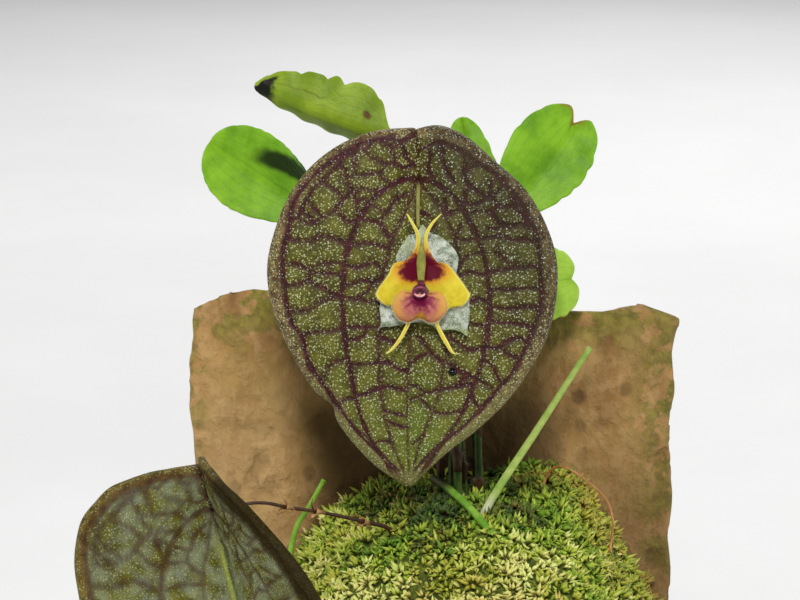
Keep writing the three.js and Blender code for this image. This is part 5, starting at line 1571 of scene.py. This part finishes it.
# The tint also carries painted shade: darker near the stems, under the leaves, and below MOSS_RIM, in the
# basket's shade. It is also darker towards the right and lighter towards the front.
tint = 0.52 + 0.3 * rough(place, 4.5, seed=70) + random.normal(0, 0.17, heads)
stems_at = np.hypot(place[:, 0] - 2.5, (place[:, 1] - 11) * 0.8)
tint = tint - 0.5 * falling(stems_at, 5, 15) + 0.26 * falling(place[:, 1], -8, 4)
tint = tint - 0.15 * (place[:, 2] < MOSS_RIM) - 0.24 * smoothstep(place[:, 0], 8, 22)
warm = np.clip(0.15 + 0.6 * rough(place, 6, seed=72) + random.normal(0, 0.22, heads), 0, 1)
warm = np.clip(warm + 0.35 * smoothstep(np.abs(place[:, 0] - 2), 10, 24), 0, 1)
moss_skin = moss_material()
low, high = in_mm(cad_box)
half_of = np.arange(heads) % 2
for label, chosen in (("a", half_of == 0), ("b", half_of == 1)):
    points, faces, *numbers = moss_heads(place[chosen], normal[chosen], tint[chosen], warm[chosen])
    make_piece(f"moss_leaves_{label}", np.clip(points, low, high), faces, moss_skin, "moss", (),
               dict(zip(("tint", "warm", "along"), numbers)), weld=False)

# %% [markdown]
# ## The basket
#
# The slats are square bars of weathered wood. Real bars are never quite straight or sharp: the
# grain stands proud where the soft wood wore away, edges are rounded and the ends are checked.
# Each bar is a loft of 84 rings, moved by noise that is stretched along the grain.


# %% Slat material
def slat_material(name, stretch):
    made, tree, shader = new_material(name, Roughness=0.8)
    colour = mottled(tree, rgb(104, 76, 46), rgb(168, 132, 88), 1.6, stretch=stretch, sharpness=0.75)
    weather = mottled(tree, rgb(118, 104, 84), rgb(164, 150, 124), 0.9, stretch=stretch, sharpness=0.6,
                      seed=3.0)
    where = grey_noise(tree, 14.0, seed=4.0)
    colour = mix(tree, times(tree, where, 0.55), colour, weather)
    # The cracks are painted dark: painted shade in the grooves.
    colour = mix_by(tree, "crack", 0.75, colour, rgb(48, 32, 18))
    colour = mix_by(tree, "end", 0.45, colour, rgb(84, 60, 36))
    stain = ease(tree, grey_noise(tree, 9.0, seed=8.0), 0.55, 0.95, 0.0, 0.5)
    colour = mix(tree, stain, colour, rgb(92, 96, 44))
    paint(tree, shader, colour)
    lines = grey_noise(tree, 0.5, stretch=stretch, sharpness=0.8, seed=5.0)
    bump(tree, shader, lines, 0.7, 0.0003)
    return made


slat_skins = [slat_material("slat_wood_x", (0.05, 1, 1)), slat_material("slat_wood_y", (1, 0.05, 1))]


# %% Slats
SLAT_RINGS = 84
SLAT_CORNER = 0.9
GRAIN_STRETCH = [0.05, 1, 1]


def slat(node_name, seed):
    """A worn bar. Its points are first laid along x, and then turned the way the solid lies."""
    low, high = in_mm(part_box(node_name))
    size, centre = high - low, (low + high) / 2
    lengthwise = int(np.argmax(size))
    half = size[2] / 2
    inner = half - SLAT_CORNER
    side = np.linspace(-inner, inner, 9)
    turn = np.radians(np.linspace(0, 90, 4)[1:-1])
    ring, facing = [], []
    for k in range(4):
        c, s = round(math.cos(k * math.pi / 2)), round(math.sin(k * math.pi / 2))
        local = [(half, v) for v in side]
        local += [(inner + SLAT_CORNER * math.cos(a), inner + SLAT_CORNER * math.sin(a)) for a in turn]
        out = [(1, 0)] * len(side) + [(math.cos(a), math.sin(a)) for a in turn]
        ring += [(c * p - s * q, s * p + c * q) for p, q in local]
        facing += [(c * p - s * q, s * p + c * q) for p, q in out]
    ring, facing = np.array(ring), np.array(facing)
    reach = size[lengthwise] / 2
    t = np.sin(np.linspace(-np.pi / 2, np.pi / 2, SLAT_RINGS) * 0.98) / math.sin(np.pi / 2 * 0.98)
    ends = 1 - 0.05 * smoothstep(np.abs(t) * reach, reach - 0.5, reach)
    shift = seed * 17.3
    place = np.empty((SLAT_RINGS, len(ring), 3))
    place[..., 0] = (t * reach)[:, None]
    place[..., 1:] = ring[None] * ends[:, None, None]
    flat = place.reshape(-1, 3)
    grain = layered_rough(flat * GRAIN_STRETCH + shift, 0.8, seed)
    slow = rough(flat * [0.3, 1, 1] + shift, 6.0, seed + 5)
    crack = smoothstep(rough(flat * [0.06, 1, 1] + shift, 2.2, seed + 9), 0.66, 0.86)
    near_end = smoothstep(np.abs(flat[:, 0]), reach - 12, reach)
    crack = crack * (0.3 + 0.7 * near_end)
    inward = 0.1 + 0.05 * grain + 0.06 * slow + 0.3 * crack
    flat = flat.copy()
    flat[:, 1:] -= np.tile(facing, (SLAT_RINGS, 1)) * inward[:, None]
    flat[:, 0] += np.sign(flat[:, 0]) * (np.abs(flat[:, 0]) > reach - 0.3) * 0.1 * (grain - 1.5)
    points = np.empty_like(flat)
    points[:, lengthwise] = flat[:, 0]
    points[:, 1 - lengthwise], points[:, 2] = flat[:, 1], flat[:, 2]
    points = points + centre
    _, faces = loft(place)
    at_end = smoothstep(np.abs(flat[:, 0]), reach - 0.6, reach - 0.1)
    make_piece(f"{node_name}_slat", points, faces, slat_skins[lengthwise], "slat_wood", [node_name],
               {"crack": crack, "end": at_end})


for seed, node_name in enumerate(SLATS):
    slat(node_name, seed)

# %% [markdown]
# A pin of galvanised wire goes down through the crossed ends at each corner. Only its flattened
# head shows on top. It is turned from a profile, like a small rivet.


# %% Pins
pin_steel, tree, shader = new_material("pin_steel", Metallic=0.9)
steel = mottle(tree, rgb(128, 128, 126), rgb(176, 176, 172), 0.8)
paint(tree, shader, steel["Color"])
tree.links.new(ease(tree, steel["Value"], 0.0, 1.0, 0.3, 0.5), shader.inputs["Roughness"])
bump(tree, shader, steel["Value"], 0.3, 0.00005)
# Radius and height along a pin, from its hidden end to the middle of its head.
PIN_PROFILE = [(0.01, 1.5), (0.75, 1.5), (0.9, 1.65), (0.9, 40.3), (2.1, 40.3), (2.28, 40.42), (2.3, 40.6),
               (2.15, 40.85), (1.7, 41.1), (1.0, 41.26), (0.01, 41.3)]
PIN_SIDES = 32
turn = np.linspace(0, 2 * np.pi, PIN_SIDES, endpoint=False)
for node_name in [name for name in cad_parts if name.startswith("pin_")]:
    low, high = in_mm(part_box(node_name))
    centre = (low + high) / 2
    rings = np.array([
        np.column_stack([centre[0] + r * np.cos(turn), centre[1] + r * np.sin(turn), np.full(PIN_SIDES, z)])
        for r, z in PIN_PROFILE
    ])
    make_piece(f"{node_name}_rivet", *loft(rings), pin_steel, "pin_metal", [node_name])

# %% [markdown]
# ## Small things
#
# A few tiny things make the picture true: the fringe of hairs on the lip and the petals, a dark
# glossy bead on the leaf, and a fine dry fibre that loops over the moss.


# %% Fringe
def fringe(outline, centre, chosen, level, count, length):
    edge = smooth_curve([*outline, outline[0]], count + 1)[:-1]
    parts = []
    for point in edge:
        if chosen(*point):
            out = unit(point - np.array(centre)) + random.normal(0, 0.25, 2)
            reach = length * random.uniform(0.6, 1.2)
            start = np.array([*point, level])
            end = start + [*(out * reach), random.uniform(-0.05, 0.12)]
            parts.append(tube(np.array([start, (start + end) / 2, end]), [0.018, 0.015, 0.006], 3))
    return joined(parts)


hair_skin = stem_material("hair_skin", rgb(214, 196, 150), rgb(236, 226, 196))
points, faces = joined([
    fringe(LIP, (0, -2.2), lambda x, y: y < -1.2, 4.75, 260, 0.17),
    fringe([p[:2] for p in PETAL_LEFT[7:13]], (-2, 0), lambda x, y: x < -1.2, 3.3, 190, 0.1),
    fringe([p[:2] for p in PETAL_RIGHT[7:13]], (2.5, 0), lambda x, y: x > 1.6, 3.3, 190, 0.1),
])
flower_piece("flower_fringe", points, faces, hair_skin, "lip")

# %% Bead and fibre
bead_skin, tree, shader = new_material("bead_skin", Roughness=0.12, Specular_IOR_Level=0.35)
paint(tree, shader, mottled(tree, rgb(2, 2, 3), rgb(8, 7, 10), 0.3))
points, faces = dome((5.57, -7.62, 1.4), (0.47, 0.42, 0.42), rows=16, around=24)
make_piece("leaf_bead", placed(points), faces, bead_skin, "dry_stem")
fibre_skin = stem_material("fibre_skin", rgb(150, 96, 48), rgb(194, 138, 84))
fibre_path = smooth_curve([
    (15.6, -21.5, -15.5), (16.6, -19, -14.6), (17.9, -18.4, -13.6), (20.9, -20.2, -12), (22.7, -22, -11),
    (23.3, -24.2, -10), (22.9, -27.5, -9),
], 50)
points, faces = tube(placed(fibre_path), 0.14, 8)
make_piece("moss_fibre", points, faces, fibre_skin, "dry_stem")
